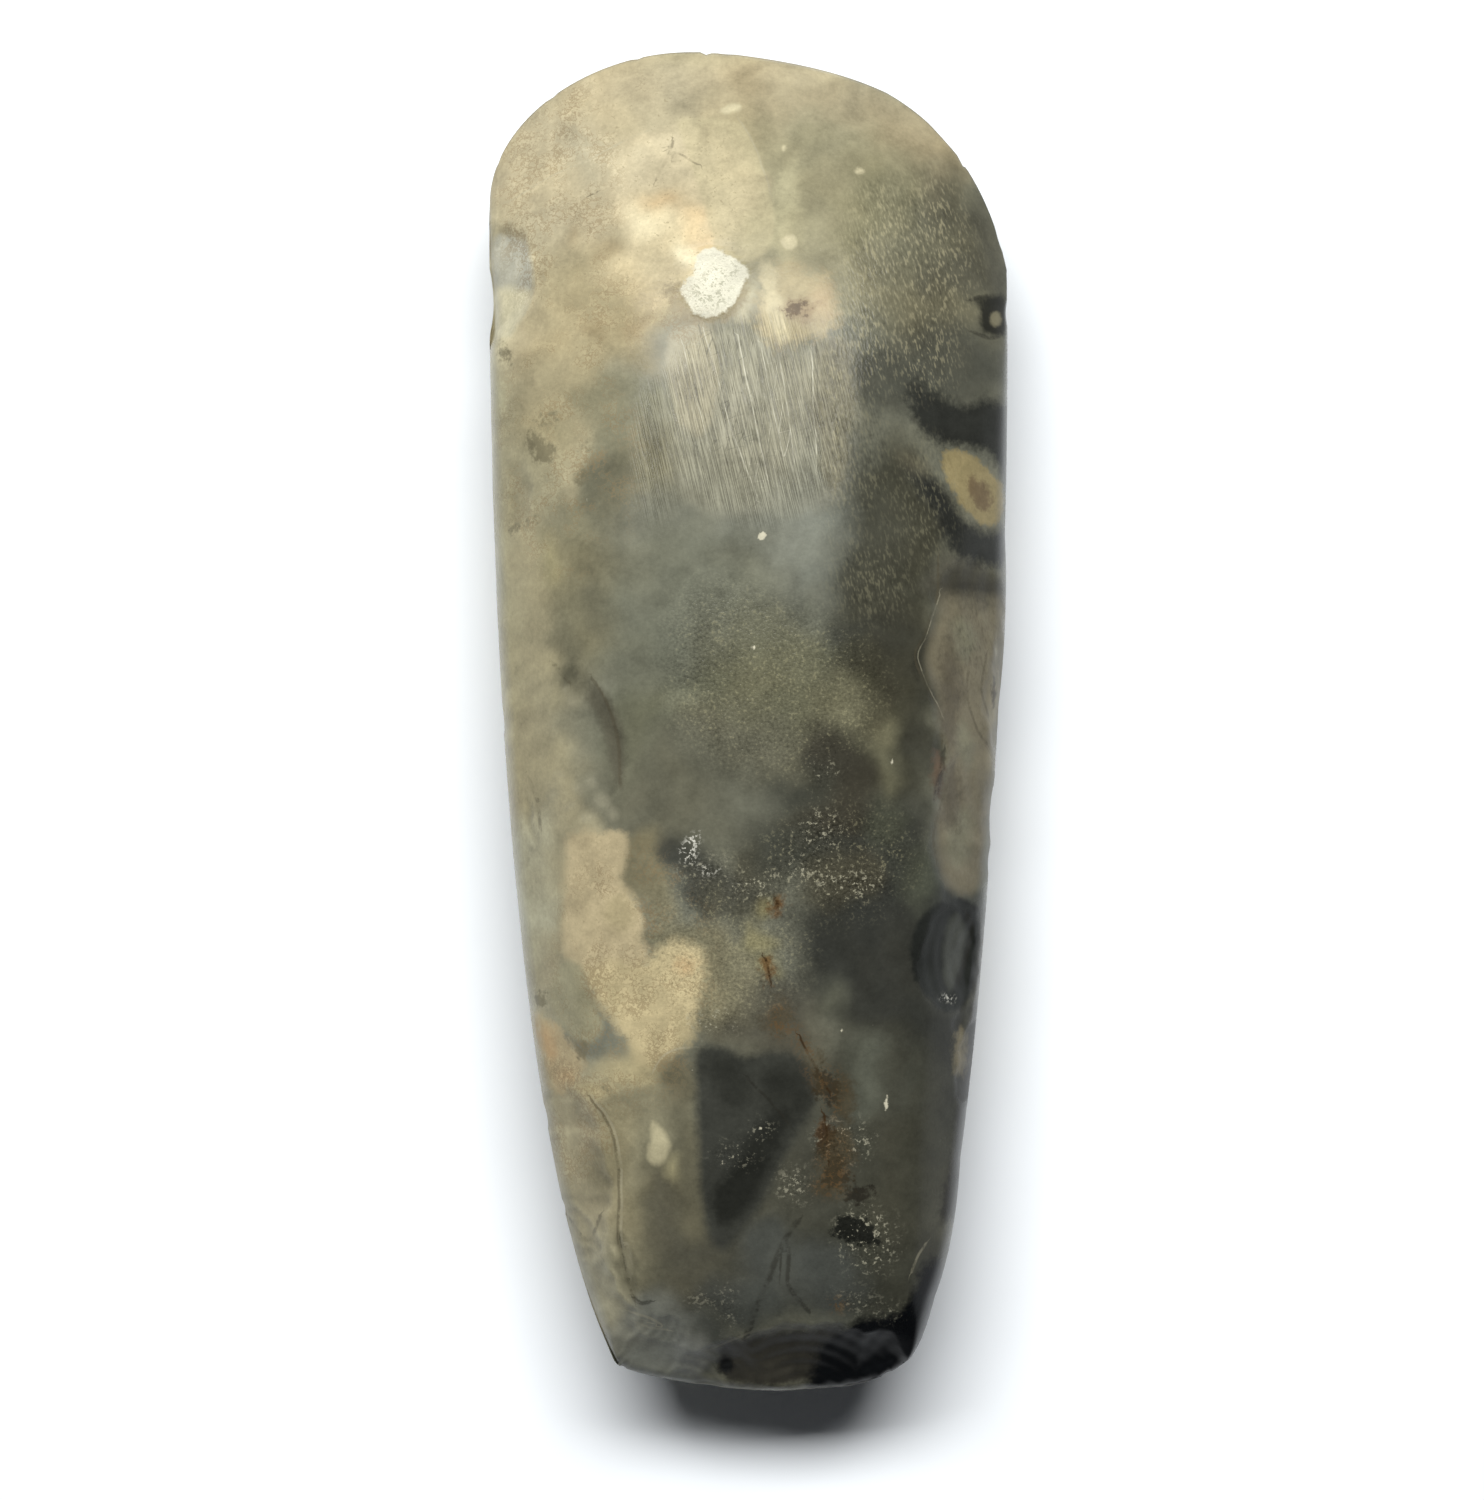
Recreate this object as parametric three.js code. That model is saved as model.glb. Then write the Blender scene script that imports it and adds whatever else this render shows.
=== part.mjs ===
// A polished flint axe, lying on its underside, in millimetres.
// +Z is up, +Y points to the cutting edge, and the origin is under the middle of the axe.
import * as THREE from 'three';

// Driving dimensions
const axeLength = 150; // from the crown of the cutting edge to the lowest point of the butt
const bladeWidth = 58; // widest, just behind the cutting edge
const leftCornerSetback = 18; // from the crown back to the left end of the cutting edge
const rightCornerSetback = 24.4;
const crownShift = -6.7; // the crown lies to the left of the blade's middle
const buttWidth = 32; // from corner to corner of the butt
const buttShift = 1.3; // the butt sits this far to the right of the blade's middle
const buttSetback = 3.2; // from the lowest point of the butt up to its corners
const bellyThickness = 33; // from face to face, at the belly
const bladeTaper = 70; // length over which the faces close on the cutting edge
const sideBand = 7; // height of the upright band along both sides
const sideRounding = 1.6; // how far in from the side that band curves over
const buttBand = 3.4; // thickness left at the rim of the butt
const buttRounding = 1.2; // how far in from the butt its rim curves over
const groundBand = 20; // width of the flatter strip ground along the middle of each face
const restingWear = 0.35; // depth of the worn flat that the axe lies on

const halfLength = axeLength / 2;
const halfBlade = bladeWidth / 2;
const halfButt = buttWidth / 2;
const halfThickness = bellyThickness / 2;

// Shape of the faces
const bellyStation = 0.08; // of the half length, towards the blade from the middle
const buttThinning = 0.48; // share of the thickness lost from the belly to the butt
const thinningPower = 2.2;
const bladePower = 2.8; // above 1, the faces bulge towards the cutting edge
const bandRadius = 2.07 * bladeWidth; // curve across the ground strip
const shoulderRadius = 0.55 * bladeWidth; // and outside it
const sideSlope = 1.35; // rise of the side bevels, for each millimetre inwards
const buttSlope = 0.82;
const unevenness = 0.012 * bellyThickness; // swell left by hand grinding
const bend = 0.6; // how far the rim strays from a flat plane

// How sharply the faces meet the side bevels: soft at the blade, crisper towards the butt
const softArris = 4.5;
const crispArris = 9;
const crispBelow = 0.07; // of the half length
const softAbove = 0.45;

// Mesh of each face
const cellsAcross = 34;
const cellsAlong = 68;
const rimCrowding = 0.85; // 0 spaces the lines evenly, 1 crowds them to the rim

// Corners of the outline
const corner = {
  bladeLeft: new THREE.Vector2(-halfBlade, halfLength - leftCornerSetback),
  bladeRight: new THREE.Vector2(halfBlade - 0.15, halfLength - rightCornerSetback),
  crown: new THREE.Vector2(crownShift, halfLength),
  buttLeft: new THREE.Vector2(buttShift - halfButt, buttSetback - halfLength),
  buttRight: new THREE.Vector2(buttShift + halfButt, buttSetback - halfLength),
};

// Handles of the curves between them, as shares of the box that two corners span
const handles = {
  left: [{ across: 0.78, along: 0.153 }, { across: 1.02, along: 0.635 }],
  right: [{ across: 0.64, along: 0.032 }, { across: 1.065, along: 0.632 }],
  butt: [{ across: -0.06, along: -0.27 }, { across: 0.755, along: -2.13 }],
  edgeLeft: [{ across: -0.033, along: 0.542 }, { across: 0.473, along: 1 }],
  edgeRight: [{ across: 0.383, along: 0 }, { across: 0.869, along: 0.108 }],
};

function outlineCurve(name, start, end) {
  const span = new THREE.Vector2().subVectors(end, start);
  const rise = name === 'butt' ? buttSetback : span.y;
  const [first, second] = handles[name].map(({ across, along }) =>
    new THREE.Vector2(start.x + across * span.x, start.y + along * rise));
  return new THREE.CubicBezierCurve(start, first, second, end);
}

const curve = {
  left: outlineCurve('left', corner.buttLeft, corner.bladeLeft),
  right: outlineCurve('right', corner.buttRight, corner.bladeRight),
  butt: outlineCurve('butt', corner.buttLeft, corner.buttRight),
  edgeLeft: outlineCurve('edgeLeft', corner.bladeLeft, corner.crown),
  edgeRight: outlineCurve('edgeRight', corner.crown, corner.bladeRight),
};

const crownShare = 0.42; // of the cutting edge's length, from its left corner

function wholeEdge(share) {
  return share < crownShare
    ? curve.edgeLeft.getPoint(share / crownShare)
    : curve.edgeRight.getPoint((share - crownShare) / (1 - crownShare));
}

// Chips out of the outline. at is a share of the line's way, from the butt to the blade or from left
// to right, wide is half the chip's share of it, and deep is in millimetres.
const chips = {
  edge: [{ at: 0.83, wide: 0.03, deep: 0.25 }],
  left: [{ at: 0.925, wide: 0.03, deep: 0.45 }],
  right: [{ at: 0.605, wide: 0.022, deep: 0.3 }, { at: 0.24, wide: 0.022, deep: 0.25 }],
  butt: [{ at: 0.72, wide: 0.09, deep: 0.2 }],
};
const inwards = {
  edge: new THREE.Vector2(0, -1),
  left: new THREE.Vector2(1, 0),
  right: new THREE.Vector2(-1, 0),
  butt: new THREE.Vector2(0, 1),
};

function rimPoint(name, share) {
  const point = name === 'edge' ? wholeEdge(share) : curve[name].getPoint(share);
  for (const chip of chips[name]) {
    const off = (share - chip.at) / chip.wide;
    point.addScaledVector(inwards[name], chip.deep * Math.max(0, 1 - off * off));
  }
  return point;
}

// The plan of the axe as a four-sided patch between its two sides, its butt and its cutting edge.
function planPoint(across, along) {
  const left = rimPoint('left', along);
  const right = rimPoint('right', along);
  const low = rimPoint('butt', across);
  const high = rimPoint('edge', across);
  const blend = (axis) =>
    (1 - across) * left[axis] + across * right[axis] + (1 - along) * low[axis] + along * high[axis]
    - (1 - along) * ((1 - across) * corner.buttLeft[axis] + across * corner.buttRight[axis])
    - along * ((1 - across) * corner.bladeLeft[axis] + across * corner.bladeRight[axis]);
  return new THREE.Vector2(blend('x'), blend('y'));
}

// Distances inwards from the outline, in plan
const traceSteps = 120;
const traced = (place) => Array.from({ length: traceSteps + 1 }, (_, i) => place(i / traceSteps));
const trace = {
  left: traced((share) => rimPoint('left', share)),
  right: traced((share) => rimPoint('right', share)),
  butt: traced((share) => rimPoint('butt', share)),
  edge: traced(wholeEdge),
};

function distanceTo(line, point) {
  let nearest = Infinity;
  const step = new THREE.Vector2();
  const from = new THREE.Vector2();
  for (let i = 0; i + 1 < line.length; i++) {
    step.subVectors(line[i + 1], line[i]);
    from.subVectors(point, line[i]);
    const share = THREE.MathUtils.clamp(from.dot(step) / step.lengthSq(), 0, 1);
    nearest = Math.min(nearest, from.addScaledVector(step, -share).length());
  }
  return nearest;
}

// How far the cutting edge lies ahead of a point, straight along the axe
function behindEdge(point) {
  const line = trace.edge;
  const before = line.findLastIndex((rim) => rim.x <= point.x);
  if (before < 0 || before + 1 === line.length) return line[Math.max(before, 0)].y - point.y;
  const share = (point.x - line[before].x) / (line[before + 1].x - line[before].x);
  return THREE.MathUtils.lerp(line[before].y, line[before + 1].y, share) - point.y;
}

// A quarter ellipse at a rim, then a straight slope.
function rimRise(distance, rounding, height, slope) {
  const left = 1 - Math.min(distance / rounding, 1);
  return height * Math.sqrt(1 - left * left) + slope * distance;
}

function dropAcross(x) {
  const half = groundBand / 2;
  const off = Math.abs(x);
  if (off < half) return (off * off) / (2 * bandRadius);
  const over = off - half;
  return (half * half) / (2 * bandRadius) + (half / bandRadius) * over + (over * over) / (2 * shoulderRadius);
}

// Height of a ground face above the middle surface
function groundHeight(point) {
  const station = point.y / halfLength;
  const behind = Math.max(0, (bellyStation - station) / (bellyStation + 1));
  const fromEdge = Math.min(Math.max(behindEdge(point), distanceTo(trace.edge, point)) / bladeTaper, 1);
  const closing = 1 - (1 - fromEdge) ** bladePower;
  const dome = halfThickness * (1 - buttThinning * behind ** thinningPower) - dropAcross(point.x);
  const swell = (unevenness * (Math.sin(7.3 * station + 1) + Math.sin(9 * (point.x / halfBlade) - 4 * station))) / 2;
  const side = (line) => rimRise(distanceTo(line, point), sideRounding, sideBand / 2, sideSlope);
  const surfaces = [
    Math.max(dome + swell, buttBand / 2) * closing,
    side(trace.left),
    side(trace.right),
    rimRise(distanceTo(trace.butt, point), buttRounding, buttBand / 2, buttSlope),
  ];
  const crisp = 1 - THREE.MathUtils.smoothstep(station, crispBelow, softAbove);
  const power = softArris + (crispArris - softArris) * crisp;
  return surfaces.reduce((sum, height) => sum + height ** -power, 0) ** (-1 / power);
}

// The middle surface bends a little, so that the rim isn't a flat line.
function middleHeight(point) {
  const station = point.y / halfLength;
  return bend * (Math.sin(2.6 * station + 0.4) + 0.5 * Math.sin((4.1 * point.x) / halfBlade + 1.3 * station));
}

// Flake scars that the grinding left, and later chips, as ovals in plan. across and along place the
// middle as shares of the half width and half length. long, wide and deep are in millimetres, turn
// is in degrees from the axe's own direction, steep sharpens the rim and lean deepens one side.
const upperScars = {
  crescent: { across: -0.6, along: -0.02, long: 14.1, wide: 6.9, deep: 0.78, turn: 20, steep: 3, lean: 0.9 },
  lowerLeft: { across: -0.69, along: -0.661, long: 19.5, wide: 9.3, deep: 1.2, turn: 10, steep: 1.8, lean: 0.5 },
  leftCorner: { across: -0.575, along: -0.863, long: 15, wide: 6.9, deep: 1.12, turn: 22, steep: 1.3, lean: 0 },
  stepFracture: { across: -0.465, along: -0.81, long: 9.3, wide: 2.7, deep: 0.6, turn: 12, steep: 2, lean: -0.5 },
  ripples: { across: -0.334, along: -0.9, long: 6.9, wide: 3.9, deep: 0.36, turn: 70, steep: 1.3, lean: 0 },
  buttRight: { across: 0.28, along: -0.945, long: 9, wide: 19.5, deep: 1.5, turn: -6, steep: 1.1, lean: 0 },
  buttMiddle: { across: -0.1, along: -0.965, long: 7.5, wide: 12.8, deep: 1.05, turn: 12, steep: 1.1, lean: 0 },
  buttLeft: { across: -0.4, along: -0.945, long: 6.6, wide: 8.4, deep: 0.75, turn: 18, steep: 1.1, lean: 0 },
  bladeChip: { across: -0.96, along: 0.655, long: 13.5, wide: 7.8, deep: 1.35, turn: 0, steep: 1.8, lean: 0 },
  sideUpper: { across: 0.83, along: 0.105, long: 21.8, wide: 9.9, deep: 0.9, turn: -3, steep: 1.5, lean: -0.4 },
  sideMiddle: { across: 0.84, along: -0.155, long: 19.2, wide: 9, deep: 0.82, turn: -4, steep: 1.5, lean: -0.4 },
  sideChip: { across: 0.955, along: 0.048, long: 12, wide: 4.5, deep: 0.9, turn: -3, steep: 1.5, lean: 0 },
  oval: { across: 0.765, along: -0.352, long: 12, wide: 7.5, deep: 1.12, turn: -7, steep: 1.9, lean: 0.4 },
  lowChip: { across: 0.855, along: -0.504, long: 9.6, wide: 3.9, deep: 0.75, turn: -8, steep: 1.3, lean: 0 },
  chalkHollow: { across: -0.133, along: 0.652, long: 8, wide: 7.4, deep: 0.15, turn: 0, steep: 2, lean: 0 },
};
const underScars = {
  flankLeft: { across: -0.74, along: -0.2, long: 28.5, wide: 12.8, deep: 1.35, turn: 4, steep: 1.5, lean: 0.4 },
  flankRight: { across: 0.74, along: -0.45, long: 24, wide: 12, deep: 1.2, turn: -6, steep: 1.5, lean: -0.4 },
  shoulder: { across: 0.85, along: 0.3, long: 22.5, wide: 9, deep: 0.9, turn: 2, steep: 1.4, lean: 0 },
  buttFace: { across: 0.02, along: -0.93, long: 12, wide: 22.5, deep: 1.5, turn: 8, steep: 1.1, lean: 0 },
  buttSide: { across: -0.45, along: -0.8, long: 18, wide: 9, deep: 1.2, turn: 16, steep: 1.4, lean: 0 },
};
const keptRim = 0.35; // share of the height that a scar leaves at least

function scarDepth(point, scars) {
  let deepest = 0;
  for (const scar of Object.values(scars)) {
    const middle = new THREE.Vector2(scar.across * halfBlade, scar.along * halfLength);
    const from = point.clone().rotateAround(middle, THREE.MathUtils.degToRad(-scar.turn)).sub(middle);
    const crosswise = from.x / (0.5 * scar.wide);
    const lengthwise = from.y / (0.5 * scar.long);
    const out = Math.min(crosswise ** 2 + lengthwise ** 2, 1);
    const leaning = (1 + scar.lean * crosswise) / (1 + Math.abs(scar.lean));
    deepest = Math.max(deepest, scar.deep * (1 - out ** scar.steep) * leaning);
  }
  return deepest;
}

function faceHeight(point, scars) {
  const height = groundHeight(point);
  return Math.max(height - scarDepth(point, scars), keptRim * height);
}

function crowded(share) {
  return share + rimCrowding * ((1 - Math.cos(Math.PI * share)) / 2 - share);
}

// Both faces as grids that share the vertices of the rim
function bodyGeometry() {
  const positions = [];
  const rows = { upper: [], under: [] };
  for (let j = 0; j <= cellsAlong; j++) {
    rows.upper.push([]);
    rows.under.push([]);
    for (let i = 0; i <= cellsAcross; i++) {
      const point = planPoint(crowded(i / cellsAcross), crowded(j / cellsAlong));
      const middle = middleHeight(point);
      const onRim = i === 0 || j === 0 || i === cellsAcross || j === cellsAlong;
      rows.upper[j].push(positions.length / 3);
      positions.push(point.x, point.y, middle + (onRim ? 0 : faceHeight(point, upperScars)));
      if (onRim) {
        rows.under[j].push(rows.upper[j][i]);
      } else {
        rows.under[j].push(positions.length / 3);
        positions.push(point.x, point.y, middle - faceHeight(point, underScars));
      }
    }
  }

  // Each cell is split along the diagonal that points to its own corner of the outline.
  const index = [];
  for (const [name, grid] of Object.entries(rows)) {
    for (let j = 0; j < cellsAlong; j++) {
      for (let i = 0; i < cellsAcross; i++) {
        const cell = [grid[j][i], grid[j][i + 1], grid[j + 1][i + 1], grid[j + 1][i]];
        if (name === 'under') cell.reverse();
        const lowLeft = cell.indexOf(grid[j][i]);
        const slanting = (2 * i < cellsAcross) === (2 * j < cellsAlong);
        const first = slanting ? lowLeft : lowLeft + 1;
        const at = (k) => cell[(first + k) % cell.length];
        index.push(at(0), at(1), at(2), at(0), at(2), at(3));
      }
    }
  }
  const geometry = new THREE.BufferGeometry();
  geometry.setAttribute('position', new THREE.Float32BufferAttribute(positions, 3));
  geometry.setIndex(index);
  return geometry;
}

// Wears the flat on the underside and sets the origin under the middle of the axe.
function restOnUnderside(geometry) {
  geometry.computeBoundingBox();
  const floor = geometry.boundingBox.min.z + restingWear;
  const position = geometry.getAttribute('position');
  for (let i = 0; i < position.count; i++) position.setZ(i, Math.max(position.getZ(i), floor));
  const middle = geometry.boundingBox.getCenter(new THREE.Vector3());
  geometry.translate(-middle.x, -middle.y, -floor);
}

function makeAxe() {
  const geometry = bodyGeometry();
  restOnUnderside(geometry);
  geometry.computeVertexNormals();
  const flint = new THREE.MeshStandardMaterial({ color: 0x85826f, roughness: 0.4, metalness: 0 });
  const axe = new THREE.Mesh(geometry, flint);
  axe.name = 'axe';
  return axe;
}

const part = new THREE.Group();
part.add(makeAxe());

export default part;
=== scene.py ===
import math

import bpy
import numpy as np
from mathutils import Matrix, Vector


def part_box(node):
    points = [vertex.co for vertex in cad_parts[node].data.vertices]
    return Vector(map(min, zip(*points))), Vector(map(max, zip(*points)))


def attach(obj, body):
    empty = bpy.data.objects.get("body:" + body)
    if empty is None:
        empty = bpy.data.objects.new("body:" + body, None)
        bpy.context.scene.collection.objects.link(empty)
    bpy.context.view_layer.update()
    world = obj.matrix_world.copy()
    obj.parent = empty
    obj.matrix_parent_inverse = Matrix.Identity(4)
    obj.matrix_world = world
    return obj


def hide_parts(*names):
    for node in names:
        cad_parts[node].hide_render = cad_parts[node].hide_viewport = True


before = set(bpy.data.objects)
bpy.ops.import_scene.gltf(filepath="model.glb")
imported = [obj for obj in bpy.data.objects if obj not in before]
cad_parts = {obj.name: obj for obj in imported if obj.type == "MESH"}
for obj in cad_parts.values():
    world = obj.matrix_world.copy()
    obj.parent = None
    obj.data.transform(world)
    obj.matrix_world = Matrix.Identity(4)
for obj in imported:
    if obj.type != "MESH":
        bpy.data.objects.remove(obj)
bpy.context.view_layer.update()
print("frame loaded")

mm = 0.001  # the shape is worked out in millimetres
low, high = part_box("axe")

# The axe's form, as in the solid: millimetres, or shares where noted
axe = {
    "length": (high.y - low.y) / mm,
    "bladeWidth": (high.x - low.x) / mm,
    "thickness": 0.987 * (high.z - low.z) / mm,
    "leftCornerSetback": 18,
    "rightCornerSetback": 24.4,
    "crownShift": -6.7,
    "buttWidth": 32,
    "buttShift": 1.3,
    "buttSetback": 3.2,
    "bladeTaper": 70,
    "sideBand": 7,
    "sideRounding": 1.6,
    "buttBand": 3.4,
    "buttRounding": 1.2,
    "groundBand": 20,
    "restingWear": 0.35,
    "bend": 0.6,
    "bellyStation": 0.08,  # of the half length
    "buttThinning": 0.48,  # of the thickness
    "thinningPower": 2.2,
    "bladePower": 2.8,
    "bandRadius": 2.07,  # of the width
    "shoulderRadius": 0.55,
    "sideSlope": 1.35,
    "buttSlope": 0.82,
    "unevenness": 0.012,  # of the thickness
    "softArris": 4.5,
    "crispArris": 9.0,
    "crispFrom": (0.07, 0.45),  # stations between which the arrises turn soft
    "cells": (150, 330),
    "crowding": (0.6, 0.3),
}
halfLength = axe["length"] / 2
halfBlade = axe["bladeWidth"] / 2
halfThickness = axe["thickness"] / 2
left, right = axe["buttShift"] - axe["buttWidth"] / 2, axe["buttShift"] + axe["buttWidth"] / 2

corner = {
    "bladeLeft": (-halfBlade, halfLength - axe["leftCornerSetback"]),
    "bladeRight": (halfBlade - 0.15, halfLength - axe["rightCornerSetback"]),
    "crown": (axe["crownShift"], halfLength),
    "buttLeft": (left, axe["buttSetback"] - halfLength),
    "buttRight": (right, axe["buttSetback"] - halfLength),
}
# Each curve of the outline: its two corners, and its handles as shares of the box they span
outline = {
    "left": ("buttLeft", "bladeLeft", (0.78, 0.153), (1.02, 0.635)),
    "right": ("buttRight", "bladeRight", (0.64, 0.032), (1.065, 0.632)),
    "butt": ("buttLeft", "buttRight", (-0.06, -0.27), (0.755, -2.13)),
    "edgeLeft": ("bladeLeft", "crown", (-0.033, 0.542), (0.473, 1)),
    "edgeRight": ("crown", "bladeRight", (0.383, 0), (0.869, 0.108)),
}
crownShare = 0.42  # of the cutting edge's length

# Chips out of the outline: how far along its line, half its share of the line, and its depth, which is
# less than nothing where the rim stands out a little
outlineChips = {
    "edge": [
        (0.085, 0.008, 0.18), (0.218, 0.007, 0.15), (0.35, 0.008, 0.12), (0.448, 0.008, 0.3),
        (0.47, 0.02, 0.1), (0.594, 0.13, 0.4), (0.83, 0.03, 0.12), (0.868, 0.008, 0.35), (0.968, 0.012, 0.25),
    ],
    "left": [(0.925, 0.03, 0.45), (0.62, 0.01, 0.1), (0.3, 0.012, 0.14), (0.21, 0.008, 0.12)],
    "right": [
        (0.965, 0.01, 0.15), (0.605, 0.022, 0.3), (0.57, 0.01, 0.15), (0.74, 0.06, -0.35), (0.25, 0.08, -0.4),
    ],
    "butt": [(0.13, 0.03, 0.15), (0.45, 0.03, 0.12), (0.72, 0.09, 0.2), (0.93, 0.02, 0.15)],
}
inwards = {"edge": (0, -1), "left": (1, 0), "right": (-1, 0), "butt": (0, 1)}


def curvePoints(name, share):
    startName, endName, *handles = outline[name]
    start, end = np.array(corner[startName]), np.array(corner[endName])
    span = end - start
    if name == "butt":
        span[1] = axe["buttSetback"]
    first, second = [start + np.array(handle) * span for handle in handles]
    s = share[:, None]
    return start * (1 - s) ** 3 + first * 3 * (1 - s) ** 2 * s + second * 3 * (1 - s) * s**2 + end * s**3


def wholeEdge(share):
    leftHalf = curvePoints("edgeLeft", share / crownShare)
    rightHalf = curvePoints("edgeRight", (share - crownShare) / (1 - crownShare))
    return np.where((share < crownShare)[:, None], leftHalf, rightHalf)


def rimPoints(name, share):
    points = wholeEdge(share) if name == "edge" else curvePoints(name, share)
    for at, wide, deep in outlineChips[name]:
        bite = deep * np.maximum(0, 1 - ((share - at) / wide) ** 2)
        points = points + bite[:, None] * np.array(inwards[name])
    return points


def planGrid(across, along):
    leftSide, rightSide = rimPoints("left", along), rimPoints("right", along)
    butt, edge = rimPoints("butt", across), rimPoints("edge", across)
    u, v = across[None, :, None], along[:, None, None]
    sides = (1 - u) * leftSide[:, None] + u * rightSide[:, None]
    ends = (1 - v) * butt[None] + v * edge[None]
    corners = (1 - v) * ((1 - u) * butt[0] + u * butt[-1]) + v * ((1 - u) * leftSide[-1] + u * rightSide[-1])
    return sides + ends - corners


traceShares = np.linspace(0, 1, 241)
trace = {name: rimPoints(name, traceShares) for name in ("left", "right", "butt")}
trace["edge"] = wholeEdge(traceShares)


def distanceTo(line, points):
    nearest = np.full(len(points), np.inf)
    for start, end in zip(line[:-1], line[1:]):
        step = end - start
        share = np.clip((points - start) @ step / (step @ step), 0, 1)
        off = points - start - share[:, None] * step
        nearest = np.minimum(nearest, np.hypot(off[:, 0], off[:, 1]))
    return nearest


def behindEdge(points):
    line = trace["edge"]
    widest = np.argmin(line[:, 0])  # the left corner bulges a little
    return np.interp(points[:, 0], line[widest:, 0], line[widest:, 1]) - points[:, 1]


def rimRise(distance, rounding, height, slope):
    outside = 1 - np.minimum(distance / rounding, 1)
    return height * np.sqrt(1 - outside**2) + slope * distance


def dropAcross(x):
    half = axe["groundBand"] / 2
    bandRadius = axe["bandRadius"] * axe["bladeWidth"]
    shoulderRadius = axe["shoulderRadius"] * axe["bladeWidth"]
    inside = np.minimum(np.abs(x), half)
    over = np.maximum(np.abs(x) - half, 0)
    return inside**2 / (2 * bandRadius) + half / bandRadius * over + over**2 / (2 * shoulderRadius)


def smoothStep(value, start, end):
    share = np.clip((value - start) / (end - start), 0, 1)
    return share * share * (3 - 2 * share)


def groundHeight(points):
    x, station = points[:, 0], points[:, 1] / halfLength
    behind = np.maximum(0, (axe["bellyStation"] - station) / (axe["bellyStation"] + 1))
    toEdge = np.maximum(behindEdge(points), distanceTo(trace["edge"], points))
    closing = 1 - (1 - np.minimum(toEdge / axe["bladeTaper"], 1)) ** axe["bladePower"]
    dome = halfThickness * (1 - axe["buttThinning"] * behind ** axe["thinningPower"]) - dropAcross(x)
    waves = np.sin(7.3 * station + 1) + np.sin(9 * x / halfBlade - 4 * station)
    swell = axe["unevenness"] * axe["thickness"] * waves / 2
    surfaces = [np.maximum(dome + swell, axe["buttBand"] / 2) * closing]
    for name in ("left", "right"):
        fromSide = distanceTo(trace[name], points)
        surfaces.append(rimRise(fromSide, axe["sideRounding"], axe["sideBand"] / 2, axe["sideSlope"]))
    fromButt = distanceTo(trace["butt"], points)
    surfaces.append(rimRise(fromButt, axe["buttRounding"], axe["buttBand"] / 2, axe["buttSlope"]))
    crisp = 1 - smoothStep(station, *axe["crispFrom"])
    power = axe["softArris"] + (axe["crispArris"] - axe["softArris"]) * crisp
    return sum(np.maximum(height, 1e-6) ** -power for height in surfaces) ** (-1 / power)


def middleHeight(points):
    x, station = points[:, 0] / halfBlade, points[:, 1] / halfLength
    return axe["bend"] * (np.sin(2.6 * station + 0.4) + 0.5 * np.sin(4.1 * x + 1.3 * station))


# Scars as ovals in plan: middle across and along as shares of the half width and half length, then
# long, wide and deep in millimetres, turn in degrees, steepness of the rim, lean to one side
upperScars = {
    "crescent": (-0.6, -0.02, 14.1, 6.9, 0.78, 20, 3, 0.9),
    "lowerLeft": (-0.69, -0.661, 19.5, 9.3, 1.2, 10, 1.8, 0.5),
    "leftCorner": (-0.575, -0.863, 15, 6.9, 1.12, 22, 1.3, 0),
    "stepFracture": (-0.465, -0.81, 9.3, 2.7, 0.6, 12, 2, -0.5),
    "ripples": (-0.334, -0.9, 6.9, 3.9, 0.36, 70, 1.3, 0),
    "buttRight": (0.28, -0.945, 9, 19.5, 1.5, -6, 1.1, 0),
    "buttMiddle": (-0.1, -0.965, 7.5, 12.8, 1.05, 12, 1.1, 0),
    "buttLeft": (-0.4, -0.945, 6.6, 8.4, 0.75, 18, 1.1, 0),
    "bladeChip": (-0.96, 0.655, 13.5, 7.8, 1.35, 0, 1.8, 0),
    "sideUpper": (0.83, 0.105, 21.8, 9.9, 0.9, -3, 2.4, -0.4),
    "sideMiddle": (0.84, -0.155, 19.2, 9, 0.83, -4, 2.4, -0.4),
    "sideChip": (0.955, 0.048, 12, 4.5, 0.9, -3, 1.5, 0),
    "oval": (0.765, -0.352, 12, 7.5, 1.13, -7, 1.9, 0.4),
    "lowChip": (0.855, -0.504, 9.6, 3.9, 0.75, -8, 1.3, 0),
    "chalkHollow": (-0.133, 0.652, 8, 7.4, 0.15, 0, 2, 0),
}
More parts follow.
